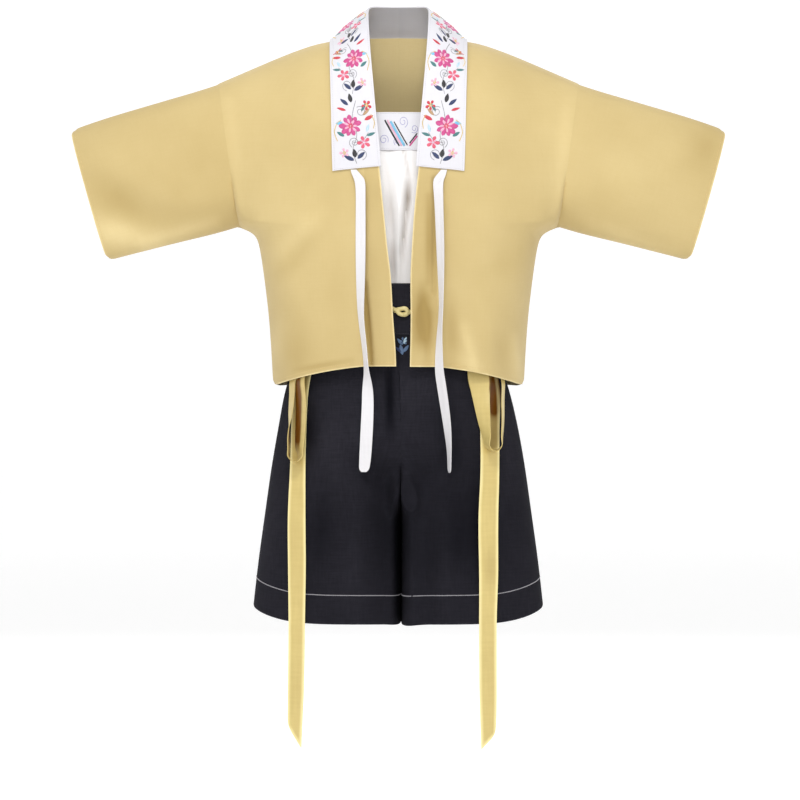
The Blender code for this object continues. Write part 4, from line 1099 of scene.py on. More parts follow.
class Threadwork:
    """Stitches and embroidery on one ground, collected into one piece."""

    def __init__(self, name: str, ground: Ground | None = None, mirror: bool = False) -> None:
        """Start a piece.

        Args:
            name: the piece's name.
            ground: the cloth under it, where it is laid by pattern coordinates.
            mirror: whether the pads' faces are turned round by the ground's hand.
        """
        self.name = name
        self.ground = ground
        self.mirror = mirror
        self.points: list[Vector] = []
        self.faces: list[tuple[int, ...]] = []
        self.uvs: list[tuple[float, float]] = []
        self.colours: list[Thread] = []
        self.which: list[int] = []

    def add(self, mesh: bpy.types.Mesh, thread: Thread, at: tuple[float, float] = (0.0, 0.0),
            turn: float = 0.0) -> None:
        """Add a mesh, laid on the ground if there is one.

        Args:
            mesh: the mesh, in the pattern plane or in place.
            thread: its thread.
            at: where its origin goes in the pattern plane.
            turn: how far it is turned there, in degrees.
        """
        start = len(self.points)
        cos, sin = math.cos(math.radians(turn)), math.sin(math.radians(turn))
        for vertex in mesh.vertices:
            x, y, height = vertex.co
            self.uvs.append((y, x))
            if self.ground:
                u, v = at[0] + x * cos - y * sin, at[1] + x * sin + y * cos
                place, normal = self.ground.at(u, v)
                self.points.append(place + normal * height)
            else:
                self.points.append(vertex.co.copy())
        if thread not in self.colours:
            self.colours.append(thread)
        for face in mesh.polygons:
            corners = tuple(start + corner for corner in face.vertices)
            self.faces.append(corners[::-1] if self.mirror else corners)
            self.which.append(self.colours.index(thread))
        bpy.data.meshes.remove(mesh)

    def pad(self, shape: Pad, u: float, v: float, turn: float, length: float, width: float,
            thread: Thread, rise: float = 0.5 * MM) -> None:
        """Lay one satin-stitch pad; turn 0 points up the pattern."""
        self.add(pad_mesh(shape, length, width, rise, 0.0), thread, (u, v), turn)

    def bloom(self, u: float, v: float, petals: int, length: float, thread: Thread,
              foot: float = 1.5 * MM, turn: float = 0.0, wide: float = 0.62,
              rise: float = 0.5 * MM) -> None:
        """Lay a ring of petals round a heart."""
        petal = pad_mesh(Pad.PETAL, length, length * wide, rise, foot)
        ring = grow(petal, bloom_tree(), {"Petals": petals, "Turn": turn, "Seed": petals,
                                          "Uneven": 0.09, "Thread": thread.material()})
        self.add(ring, thread, (u, v))

    def stitch(self, lines: Sequence[Sequence], thread: Thread, pitch: float, length: float,
               thickness: float) -> None:
        """Lay stitches along lines, in the pattern plane or in place."""
        real = [[Vector((*point, 0.0)) if len(point) == 2 else point for point in line]
                for line in lines if len(line) > 1]
        grown = grow(line_mesh(real), stitch_tree(),
                     {"Pitch": pitch, "Length": length, "Thickness": thickness, "Seed": 7,
                      "Thread": thread.material()})
        self.add(grown, thread)

    def finish(self, slot: str) -> None:
        """Make the piece and let it ride.

        Args:
            slot: not used.
        """
        mesh = bpy.data.meshes.new(self.name)
        mesh.from_pydata(self.points, [], self.faces)
        for thread in self.colours:
            mesh.materials.append(thread.material())
        mesh.polygons.foreach_set("material_index", self.which)
        layer = mesh.uv_layers.new(name="cloth")
        corners = np.empty(len(mesh.loops), dtype=int)
        mesh.loops.foreach_get("vertex_index", corners)
        layer.data.foreach_set("uv", np.array(self.uvs)[corners].ravel())
        mesh.shade_smooth()
        thing = bpy.data.objects.new(self.name, mesh)
        bpy.context.scene.collection.objects.link(thing)
        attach(thing, BODY)
        log.info("%s: %d faces", self.name, len(self.faces))


@dataclass
class Jacket:
    """Fronts, bands, backs and sleeves in golden khaki."""

    frame: dict
    hem_z: float = -0.455
    hem_inset: float = 6 * MM
    edge_inset: float = 2.5 * MM
    cuff_inset: float = 5 * MM
    front_cut: Cut = Cut(0.30, 0.56, 0.130)
    band_cut: Cut = Cut(0.050, 0.32)
    back_cut: Cut = Cut(0.32, 0.56, 0.155)
    sleeve_cut: Cut = Cut(0.46, 0.26, 0.112)
    pieces: dict[str, Piece] = field(default_factory=dict)

    front_creases = {
        "right": (
            Crease(-0.0490, -0.352, -0.0395, -0.470, 0.0040, -0.0050, 0.6),
            Crease(-0.0500, -0.210, -0.0495, -0.360, 0.0035, -0.0020, 0.5),
            Crease(-0.1900, -0.352, -0.1150, -0.275, 0.0160, -0.0034),
            Crease(-0.1850, -0.320, -0.1150, -0.250, 0.0140, 0.0022),
            Crease(-0.1750, -0.400, -0.1850, -0.475, 0.0120, 0.0026),
            Crease(-0.1450, -0.395, -0.1500, -0.490, 0.0160, -0.0024),
            Crease(-0.0900, -0.300, -0.0860, -0.440, 0.0180, -0.0014),
        ),
        "left": (
            Crease(0.0525, -0.200, 0.0520, -0.365, 0.0040, -0.0050, 0.5),
            Crease(0.0370, -0.355, 0.0350, -0.445, 0.0080, -0.0045, 0.3),
            Crease(0.0440, -0.395, 0.0430, -0.470, 0.0060, -0.0040, 0.4),
            Crease(0.0750, -0.372, 0.0790, -0.476, 0.0110, -0.0054, 0.3),
            Crease(0.0960, -0.420, 0.1150, -0.485, 0.0110, 0.0050, 0.4),
            Crease(0.1480, -0.430, 0.1560, -0.490, 0.0120, -0.0034, 0.4),
            Crease(0.1720, -0.430, 0.1800, -0.495, 0.0080, 0.0040, 0.5),
            Crease(0.1850, -0.300, 0.1350, -0.340, 0.0180, -0.0016),
        ),
    }
    back_creases = (
        Crease(0.0450, -0.330, 0.0400, -0.480, 0.0130, -0.0050, 0.3),
        Crease(0.0900, -0.300, 0.1000, -0.480, 0.0150, 0.0042, 0.3),
        Crease(0.1350, -0.360, 0.1500, -0.485, 0.0130, -0.0050, 0.3),
        Crease(0.1850, -0.270, 0.1100, -0.330, 0.0180, -0.0034),
        Crease(0.1700, -0.090, 0.0900, -0.125, 0.0200, -0.0024),
        Crease(0.0220, -0.120, 0.0300, -0.260, 0.0150, 0.0026),
    )
    sleeve_creases = {
        "right": (
            Crease(-0.4650, -0.168, -0.4330, -0.210, 0.0280, -0.0010, 0.6),
            Crease(-0.4330, -0.210, -0.3790, -0.246, 0.0260, -0.0022, 0.6),
            Crease(-0.3790, -0.246, -0.2900, -0.250, 0.0180, -0.0014, 0.4),
            Crease(-0.4450, -0.262, -0.3900, -0.276, 0.0220, 0.0022, 0.5),
        ),
        "left": (
            Crease(0.4650, -0.130, 0.4450, -0.165, 0.0240, -0.0016, 0.5),
            Crease(0.4250, -0.298, 0.3500, -0.278, 0.0120, -0.0020, 0.4),
            Crease(0.3000, -0.150, 0.3700, -0.220, 0.0300, 0.0014, 0.3),
        ),
    }
    # Painted shade above the hem, beside the ties and down the bands, and painted light (below
    # zero) near the left hem
    body_tones = {
        "right": (
            Crease(-0.1520, -0.4780, -0.0680, -0.4640, 0.0045, 0.24, 0.4),
            Crease(-0.0500, -0.358, -0.0400, -0.452, 0.0036, 0.60, 0.4),
            Crease(-0.0400, -0.452, -0.0385, -0.475, 0.0034, 0.35, 0.6),
        ),
        "left": (
            Crease(0.0850, -0.455, 0.1200, -0.485, 0.012, -0.16, 0.5),
            Crease(0.0360, -0.378, 0.0330, -0.428, 0.0190, 0.46, 0.7),
            Crease(0.0440, -0.225, 0.0440, -0.350, 0.0055, 0.30, 0.5),
        ),
    }
    # Painted light on the body beside the armhole seam
    seam_tone = Crease(0.2500, -0.080, 0.2350, -0.240, 0.010, -0.10, 0.6)
    # Painted shade along the fold from the cuff towards the underarm, and painted light (below
    # zero) on the lower part and lower edge
    sleeve_tones = {
        "right": (
            Crease(-0.4750, -0.165, -0.4330, -0.214, 0.030, 0.03, 0.8),
            Crease(-0.4330, -0.214, -0.3790, -0.254, 0.024, 0.07, 0.8),
            Crease(-0.4550, -0.266, -0.3700, -0.286, 0.020, -0.30, 0.7),
            Crease(-0.3800, -0.288, -0.2750, -0.258, 0.010, -0.25, 0.6),
        ),
        "left": (
            Crease(0.4100, -0.302, 0.2900, -0.262, 0.012, -0.16, 0.6),
            Crease(0.4660, -0.130, 0.4480, -0.168, 0.024, 0.10, 0.6),
        ),
    }

    def build(self) -> None:
        """Make every jacket piece and press its creases in."""
        for side, sign in SIDES.items():
            front = self.add(f"jacket_front_{side}")
            creases = self.front_creases[side]
            front.press(creases)
            front.move(lambda points: self.fill_armhole(points, 0.008))
            seam = self.seam_tone.on(sign)
            patches = (*self.body_tones[side], seam)
            # painted shade and light from the patches and the creases
            front.paint(patches, 0.41, creases)
            band = self.add(f"front_band_{side}")
            band.press(creases)
            # the bands take a deeper base tint than the fronts: painted shade
            band.paint(patches, 0.52, creases)
            back = self.add(f"jacket_back_{side}")
            folds = [crease.on(sign) for crease in self.back_creases]
            back.press(folds, 1)
            back.move(lambda points: self.fill_armhole(points, 0.008))
            # painted light by the armhole seam, and painted shade and light in the creases
            back.paint([seam], 0.32, folds)
            self.clear_inside(back)
            sleeve = self.add(f"sleeve_{side}", Lay.ALONG_ARM)
            sleeve.out = from_arm
            creases = self.sleeve_creases[side]
            sleeve.move(lambda points: self.sleeve_shift(points, creases))
            sleeve.move(lambda points: self.fill_armhole(points, 0.030))
            # painted shade and light from the patches and creases, over a base tint deeper than
            # the fronts': painted shade
            sleeve.paint(self.sleeve_tones[side], 0.46, creases)
            for piece in (front, back, sleeve):
                piece.move(lambda points: self.round_corners(points, sign))
        self.join_panels()

    @staticmethod
    def clear_inside(back: Piece) -> None:
        """Paint light on the back's inside, which lies in shade where it shows in the neck, by
        giving it nearly the plain colour.

        Args:
            back: a back panel that has been painted.
        """
        inside = [vertex.normal.y < -0.2 for vertex in back.mesh.vertices]
        tone = back.mesh.attributes["tone"].data
        store(back.mesh, "tone", [0.05 if within else spot.value
                                  for within, spot in zip(inside, tone)])

    def join_panels(self) -> None:
        """Close every seam of the jacket."""
        for side in SIDES:
            front = self.pieces[f"jacket_front_{side}"]
            back = self.pieces[f"jacket_back_{side}"]
            self.pieces[f"front_band_{side}"].join(front)
            front.join(back)
            for body in (front, back):
                self.pieces[f"sleeve_{side}"].join(body)
        self.pieces["jacket_back_right"].join(self.pieces["jacket_back_left"])

    def add(self, name: str, lay: Lay = Lay.UPRIGHT) -> Piece:
        """Make and keep one piece."""
        self.pieces[name] = Piece(self.frame, name, JACKET, "jacket_cloth", lay=lay)
        return self.pieces[name]

    @staticmethod
    def fill_armhole(points: np.ndarray, reach: float) -> np.ndarray:
        """Lift the cloth along the lower armhole, where the sleeve's tube is narrower.

        Args:
            points: the cloth's points.
            reach: how far from the seam the lift goes.

        Returns:
            The shift of each point.
        """
        shift = np.zeros_like(points)
        away = np.abs(points[:, 0]) - (0.2618 + (points[:, 2] + 0.09) * 0.137)
        rise = 6 * MM * bump(points[:, 2], -0.228, 0.024)
        shift[:, 1] = rise * bump(away, 0, reach) * np.tanh(points[:, 1] / 0.012)
        return shift

    def sleeve_shift(self, points: np.ndarray, creases: Iterable[Crease]) -> np.ndarray:
        """Press creases into the sleeve's front, and softer ones into its back.

        Args:
            points: the sleeve's points.
            creases: the front's troughs and ridges.

        Returns:
            The shift of each point.
        """
        shift = np.zeros_like(points)
        front = ramp(points[:, 1], 0, -0.004)
        lift = crease_lift(creases, points)
        shift[:, 1] = -lift * front + 0.5 * lift * (1 - front)
        return shift

    @staticmethod
    def round_corners(points: np.ndarray, sign: int) -> np.ndarray:
        """Draw in the cuff's two corners and the hem's corner at the side.

        Args:
            points: the cloth's points.
            sign: the side.

        Returns:
            The shift of each point.
        """
        shift = np.zeros_like(points)
        for x, z, across, up in ((0.4370, -0.3140, -2.6 * MM, 3.4 * MM),
                                 (0.4895, -0.1175, -3.0 * MM, -2.0 * MM),
                                 (0.1880, -0.5010, -2.4 * MM, 2.6 * MM)):
            away = np.hypot(points[:, 0] - sign * x, points[:, 2] - z)
            share = bump(away, 0, 0.006)
            shift[:, 0] += sign * across * share
            shift[:, 2] += up * share
        return shift

    @staticmethod
    def cuff_way(side: str) -> tuple[float, float, float]:
        """The way that a cuff's cut edge looks."""
        return SIDES[side] * 0.96, 0.0, -0.27

    def hems(self, name: str) -> Callable[[RimSpot], bool]:
        """Tell which of a piece's cut edges are hemmed.

        Args:
            name: the piece's name.

        Returns:
            The test of a place on the edge.
        """
        side = name.rsplit("_", 1)[1]
        if name.startswith("sleeve"):
            return looks(self.cuff_way(side))
        down, opening = looks(DOWN), looks((-SIDES[side], 0.0, 0.0))
        if name.startswith("front_band"):
            return lambda spot: down(spot) or opening(spot)
        return lambda spot: spot.place.z < self.hem_z and down(spot)

    def sew(self) -> None:
        """Lay the topstitches along the hems, cuffs and the opening."""
        work = Threadwork("jacket_topstitch")
        lines = []
        for side, sign in SIDES.items():
            for kind in ("jacket_front", "front_band", "jacket_back"):
                piece = self.pieces[f"{kind}_{side}"]
                if kind == "front_band":
                    piece.out = from_front
                low = self.hems(f"jacket_front_{side}")
                lines.append(piece.edge_line(low, lambda p: p.x, self.hem_inset))
            band = self.pieces[f"front_band_{side}"]
            lines.append(band.edge_line(looks((-sign, 0.0, 0.0)), lambda p: p.z, self.edge_inset))
            sleeve = self.pieces[f"sleeve_{side}"]
            cuff = sleeve.edge_line(
                looks(self.cuff_way(side)),
                lambda p: math.atan2(p.y, p.z - arm_z(abs(p.x))) * 0.08, self.cuff_inset)
            lines.append(cuff + cuff[:1])
        work.stitch(lines, GOLD_SEWING, 3.2 * MM, 2.7 * MM, 0.6 * MM)
        work.finish("jacket_cloth")

    def finish(self) -> None:
        """Mark every jacket piece's hems, and let it ride on the body."""
        cuts = {"jacket_front": self.front_cut, "front_band": self.band_cut,
                "jacket_back": self.back_cut, "sleeve": self.sleeve_cut}
        for name, piece in self.pieces.items():
            # painted highlight in the hem colour along the hems, cuffs and front opening
            piece.mark_hem(self.hems(name))
            piece.finish(cuts[name.rsplit("_", 1)[0]])


@dataclass
class Collar:
    """Two white collar halves with their embroidery, and the two ties."""

    frame: dict
    half_cut: Cut = Cut(0.075, 0.42)
    tie_cut: Cut = Cut(0.016, 0.46)
    pieces: dict[str, Piece] = field(default_factory=dict)

    middle: float = 0.035
    # Each spray's foot up the collar, and the way it leans
    starts = ((0.008, 1), (0.112, -1), (0.214, 1), (0.310, -1))
    stems = (
        ((0.000, 0.000), (-0.004, 0.020), (0.003, 0.042), (-0.003, 0.066), (0.004, 0.092)),
        ((-0.002, 0.030), (0.012, 0.034), (0.020, 0.044)),
    )
    # Across, up, width, way it sets off in degrees, and the way it winds
    curls = (
        (0.010, 0.004, 0.013, 10, 1),
        (-0.006, 0.024, 0.012, 150, -1),
        (0.006, 0.083, 0.012, 40, -1),
    )
    # Across, up, turn in degrees, length, width and thread
    leaves = (
        (-0.003, 0.004, 62, 0.017, 0.0062, NAVY),
        (0.002, 0.006, -50, 0.015, 0.0060, NAVY),
        (-0.001, 0.008, 8, 0.013, 0.0070, BLACK),
        (0.018, 0.040, -70, 0.014, 0.0048, TEAL),
        (0.018, 0.046, -20, 0.013, 0.0044, ICE),
        (-0.016, 0.040, 60, 0.013, 0.0052, TEAL),
        (-0.018, 0.060, 100, 0.011, 0.0050, SKY),
        (0.016, 0.064, -62, 0.016, 0.0056, RED),
        (0.014, 0.071, -48, 0.016, 0.0044, TAN),
        (0.012, 0.077, -34, 0.015, 0.0042, TEAL),
        (-0.008, 0.086, 52, 0.016, 0.0058, NAVY),
        (-0.003, 0.090, 12, 0.014, 0.0070, BLACK),
        (-0.012, 0.078, 74, 0.015, 0.0044, RED),
    )
    arcs = (
        ((-0.027, 0.034), (-0.031, 0.046), (-0.027, 0.058), (-0.021, 0.063)),
        ((0.029, 0.052), (0.031, 0.062), (0.027, 0.072)),
    )
    # Across, up, petals, their length and thread, heart in mm, turn, width share, rise in mm
    flowers = (
        (0.013, 0.030, 5, 0.0085, ROSE, 1.4, 0.3, 0.62, 0.5),
        (0.013, 0.030, 5, 0.0045, BLUSH, 0.6, 0.9, 0.62, 0.8),
        (-0.006, 0.055, 9, 0.0150, MAGENTA, 2.0, 0.1, 0.5, 0.5),
        (-0.006, 0.055, 7, 0.0095, BLUSH, 1.5, 0.3, 0.5, 0.8),
        (-0.006, 0.055, 6, 0.0045, ROSE, 0.5, 0.6, 0.7, 1.1),
        (-0.017, 0.016, 5, 0.0062, BLUSH, 1.0, 0.2, 0.62, 0.5),
        (-0.017, 0.016, 4, 0.0026, YELLOW, 0.3, 0.2, 0.8, 0.8),
        (0.021, 0.086, 5, 0.0070, RED, 1.0, 0.5, 0.62, 0.5),
        (0.021, 0.086, 4, 0.0030, YELLOW, 0.3, 0.2, 0.8, 0.8),
    )
    tie_creases = {
        "right": (
            Crease(-0.0630, -0.196, -0.0540, -0.206, 1.6 * MM, -1.2 * MM, 0.8),
            Crease(-0.0560, -0.215, -0.0555, -0.360, 2.0 * MM, -0.5 * MM, 0.5),
            Crease(-0.0500, -0.545, -0.0430, -0.556, 1.8 * MM, -0.6 * MM, 0.8),
            Crease(-0.0480, -0.520, -0.0490, -0.620, 2.0 * MM, 0.5 * MM, 0.5),
        ),
        "left": (
            Crease(0.0650, -0.198, 0.0560, -0.207, 1.6 * MM, -1.2 * MM, 0.8),
            Crease(0.0600, -0.225, 0.0615, -0.330, 2.0 * MM, -0.6 * MM, 0.5),
            Crease(0.0620, -0.480, 0.0690, -0.540, 1.8 * MM, 0.6 * MM, 0.5),
        ),
    }

    def build(self) -> None:
        """Make the collar halves and ties."""
        for side, sign in SIDES.items():
            name = f"collar_{side}"
            self.pieces[name] = Piece(self.frame, name, WHITE, "collar_cloth", lay=Lay.FLAT)
            name = f"tie_{side}"
            tie = Piece(self.frame, name, TAPE, "collar_cloth", lay=Lay.FLAT)
            tie.press(self.tie_creases[side])
            tie.move(lambda points: self.fold_top(points, sign))
            tie.move(self.round_end)
            # painted shade in the ties' crease troughs and painted light on their ridges
            tie.paint([], 0.0, self.tie_creases[side])
            self.pieces[name] = tie
        self.pieces["collar_right"].join(self.pieces["collar_left"])

    @staticmethod
    def round_end(points: np.ndarray) -> np.ndarray:
        """Round the corners of a tie's lower end.

        Args:
            points: the tie's points.

        Returns:
            The shift of each point.
        """
        shift = np.zeros_like(points)
        end = points[:, 2].min() + 7 * MM
        share = np.clip((end - points[:, 2]) / (7 * MM), 0, 1)
        middle = points[points[:, 2] < end, 0].mean()
        shift[:, 0] = (middle - points[:, 0]) * (1 - np.sqrt(1 - 0.75 * share ** 2))
        return shift

    @staticmethod
    def fold_top(points: np.ndarray, sign: int) -> np.ndarray:
        """Fold a tie's top to half its width, where it is sewn under the collar.

        Args:
            points: the tie's points.
            sign: the tie's side.

        Returns:
            The shift of each point.
        """
        shift = np.zeros_like(points)
        share = np.clip((points[:, 2] + 0.202) / 0.022, 0, 1)
        outer = (sign * points[points[:, 2] > -0.19, 0]).max() * sign
        shift[:, 0] = (outer - points[:, 0]) * 0.5 * share ** 2 * (3 - 2 * share)
        return shift

    def embroider(self) -> None:
        """Lay each half's sprays of flowers, leaves and scrolls, and its edge stitches."""
        for side, sign in SIDES.items():
            ground = CollarGround(self.pieces[f"collar_{side}"], sign)
            work = Threadwork(f"collar_embroidery_{side}", ground, mirror=sign > 0)
            top = ground.lengths[-1]
            for start, flip in self.starts:
                if start + 0.09 < top:
                    self.spray(work, start, flip)
            self.edge_stitches(work, top)
            work.finish("collar_cloth")

    def edge_stitches(self, work: Threadwork, top: float) -> None:
        """Lay the stitches just inside the collar's edges.

        Args:
            work: the threads of one half.
            top: the half's length.
        """
        reach = [i * 8 * MM for i in range(int(top / (8 * MM)))]
        lines = [[(2.5 * MM, v + 2 * MM) for v in reach], [(0.067, v + 2 * MM) for v in reach],
                 [(2.5 * MM + i * 4 * MM, 2 * MM) for i in range(17)]]
        work.stitch(lines, WHITE_SEWING, 3 * MM, 2.4 * MM, 0.5 * MM)

    def spray(self, work: Threadwork, v: float, flip: int) -> None:
        """Lay one spray, about 70 mm wide and 100 mm long.

        Args:
            work: the threads of one half.
            v: the height of its foot.
            flip: 1 or -1, the way it leans.
        """
        mid = self.middle
        stems, arcs = ([smooth_line([(mid + flip * across, v + up) for across, up in line])
                        for line in lines] for lines in (self.stems, self.arcs))
        work.stitch(stems, GREY, 2.0 * MM, 2.3 * MM, 0.9 * MM)
        curls = [curl_line(mid + flip * across, v + up, size, turn if flip > 0 else 180 - turn,
                           flip * hand)
                 for across, up, size, turn, hand in self.curls]
        work.stitch(curls, GREY, 1.8 * MM, 2.1 * MM, 0.9 * MM)
        for across, up, turn, length, width, thread in self.leaves:
            work.pad(Pad.LEAF, mid + flip * across, v + up, flip * turn, length, width, thread)
        work.stitch(arcs, YELLOW, 1.8 * MM, 2.2 * MM, 1.4 * MM)
        for across, up, petals, length, thread, foot, turn, wide, rise in self.flowers:
            work.bloom(mid + flip * across, v + up, petals, length, thread, foot * MM, turn,
                       wide, rise * MM)

    def finish(self) -> None:
        for name, piece in self.pieces.items():
            piece.finish(self.half_cut if name.startswith("collar") else self.tie_cut)


@dataclass
class Camisole:
    """White top band with its embroidery, and the gathered body."""

    frame: dict
    band_cut: Cut = Cut(0.40, 0.060)
    body_cut: Cut = Cut(0.44, 0.25, None, "gathered")
    reach: float = 0.125
    pieces: dict[str, Piece] = field(default_factory=dict)

    folds = (
        Crease(0.0150, -0.205, 0.0135, -0.246, 0.0045, -0.0100, 0.3),
        Crease(0.0130, -0.238, 0.0045, -0.318, 0.0034, -0.0060, 0.2),
        Crease(-0.0150, -0.210, -0.0085, -0.290, 0.0040, -0.0040, 0.2),
        Crease(-0.0085, -0.296, -0.0070, -0.348, 0.0040, -0.0050, 0.6),
        Crease(0.0010, -0.190, -0.0010, -0.330, 0.0042, 0.0040, 0.1),
        Crease(0.0080, -0.155, 0.0165, -0.198, 0.0026, -0.0036, 0.3),
        Crease(-0.0200, -0.162, -0.0150, -0.205, 0.0030, -0.0012, 0.3),
        Crease(0.0040, -0.300, 0.0030, -0.350, 0.0028, -0.0026, 0.5),
        Crease(-0.0450, -0.170, -0.0380, -0.330, 0.0060, -0.0050, 0.3),
        Crease(0.0450, -0.180, 0.0380, -0.330, 0.0060, -0.0050, 0.3),
        Crease(-0.0650, -0.170, -0.0600, -0.330, 0.0060, 0.0040, 0.3),
        Crease(0.0680, -0.170, 0.0620, -0.330, 0.0060, 0.0040, 0.3),
    )
    # Painted shade along the main folds and in a line under the top band
    shades = (
        Crease(0.0155, -0.205, 0.0140, -0.246, 0.0045, 0.50, 0.4),
        Crease(0.0130, -0.240, 0.0045, -0.310, 0.0035, 0.35, 0.3),
        Crease(-0.0180, -0.215, -0.0120, -0.270, 0.0060, 0.20, 0.3),
        Crease(-0.0090, -0.300, -0.0080, -0.345, 0.0050, 0.30, 0.6),
        Crease(0.0080, -0.155, 0.0165, -0.198, 0.0022, 0.30, 0.5),
        Crease(-0.0300, -0.1600, 0.0300, -0.1600, 0.0020, 0.40, 1.0),
        Crease(0.0060, -0.1560, 0.0090, -0.1640, 0.0016, 0.40, 1.0),
    )

    def build(self) -> None:
        """Make the bands and the gathered bodies."""
        for part, way in (("front", -1), ("back", 1)):
            name = f"camisole_band_{part}"
            self.pieces[name] = Piece(self.frame, name, WHITE, "camisole_cloth")
            name = f"camisole_{part}"
            body = Piece(self.frame, name, VOILE, "camisole_cloth", 2)
            body.press(self.folds, way)
            # painted shade patches on the front, and painted shade in the fold troughs and light
            # on their ridges
            body.paint(self.shades if part == "front" else [], 0.0, self.folds)
            self.pieces[name] = body

    def embroider(self) -> None:
        """Lay the slanted bars and scrolls round the top band, and its edge stitches."""
        bands = [self.pieces["camisole_band_front"], self.pieces["camisole_band_back"]]
        work = Threadwork("camisole_embroidery", RoundGround(bands, self.reach))
        low, high = -0.157, -0.101
        span = 0.0785
        for number in range(10):
            self.bars(work, number * span + 0.002, low)
        turns = [i * 6 * MM for i in range(int(2 * math.pi * self.reach / (6 * MM)) + 1)]
        work.stitch([[(u, high - 2 * MM) for u in turns], [(u, low + 2 * MM) for u in turns]],
                    WHITE_SEWING, 3 * MM, 2.4 * MM, 0.5 * MM)
        work.finish("camisole_cloth")

    def bars(self, work: Threadwork, u: float, v: float) -> None:
        """Lay one repeat of bars and scrolls.

        Args:
            work: the band's threads.
            u: its middle, round the band.
            v: the band's lower edge.
        """
        for across, up, turn, length, width, thread in (
                (-0.0005, 0.006, 34, 0.046, 0.0030, BLACK),
                (0.0040, 0.006, 34, 0.046, 0.0030, BLUSH),
                (0.0085, 0.006, 34, 0.044, 0.0042, SKY),
                (0.0135, 0.007, 34, 0.042, 0.0022, BLACK),
                (0.0170, 0.006, -42, 0.020, 0.0026, MAGENTA),
                (0.0170, 0.010, -42, 0.020, 0.0022, BLACK)):
            work.pad(Pad.BAR, u + across, v + up, turn, length, width, thread)
        scrolls = [curl_line(u - 0.020, v + 0.012, 0.012, 60, 1),
                   curl_line(u - 0.008, v + 0.008, 0.009, 150, -1),
                   curl_line(u + 0.010, v + 0.034, 0.013, 20, 1),
                   curl_line(u + 0.022, v + 0.026, 0.010, -40, 1)]
        work.stitch(scrolls, VIOLET, 1.7 * MM, 2.0 * MM, 0.8 * MM)

    def finish(self) -> None:
        for name, piece in self.pieces.items():
            piece.finish(self.band_cut if "band" in name else self.body_cut)


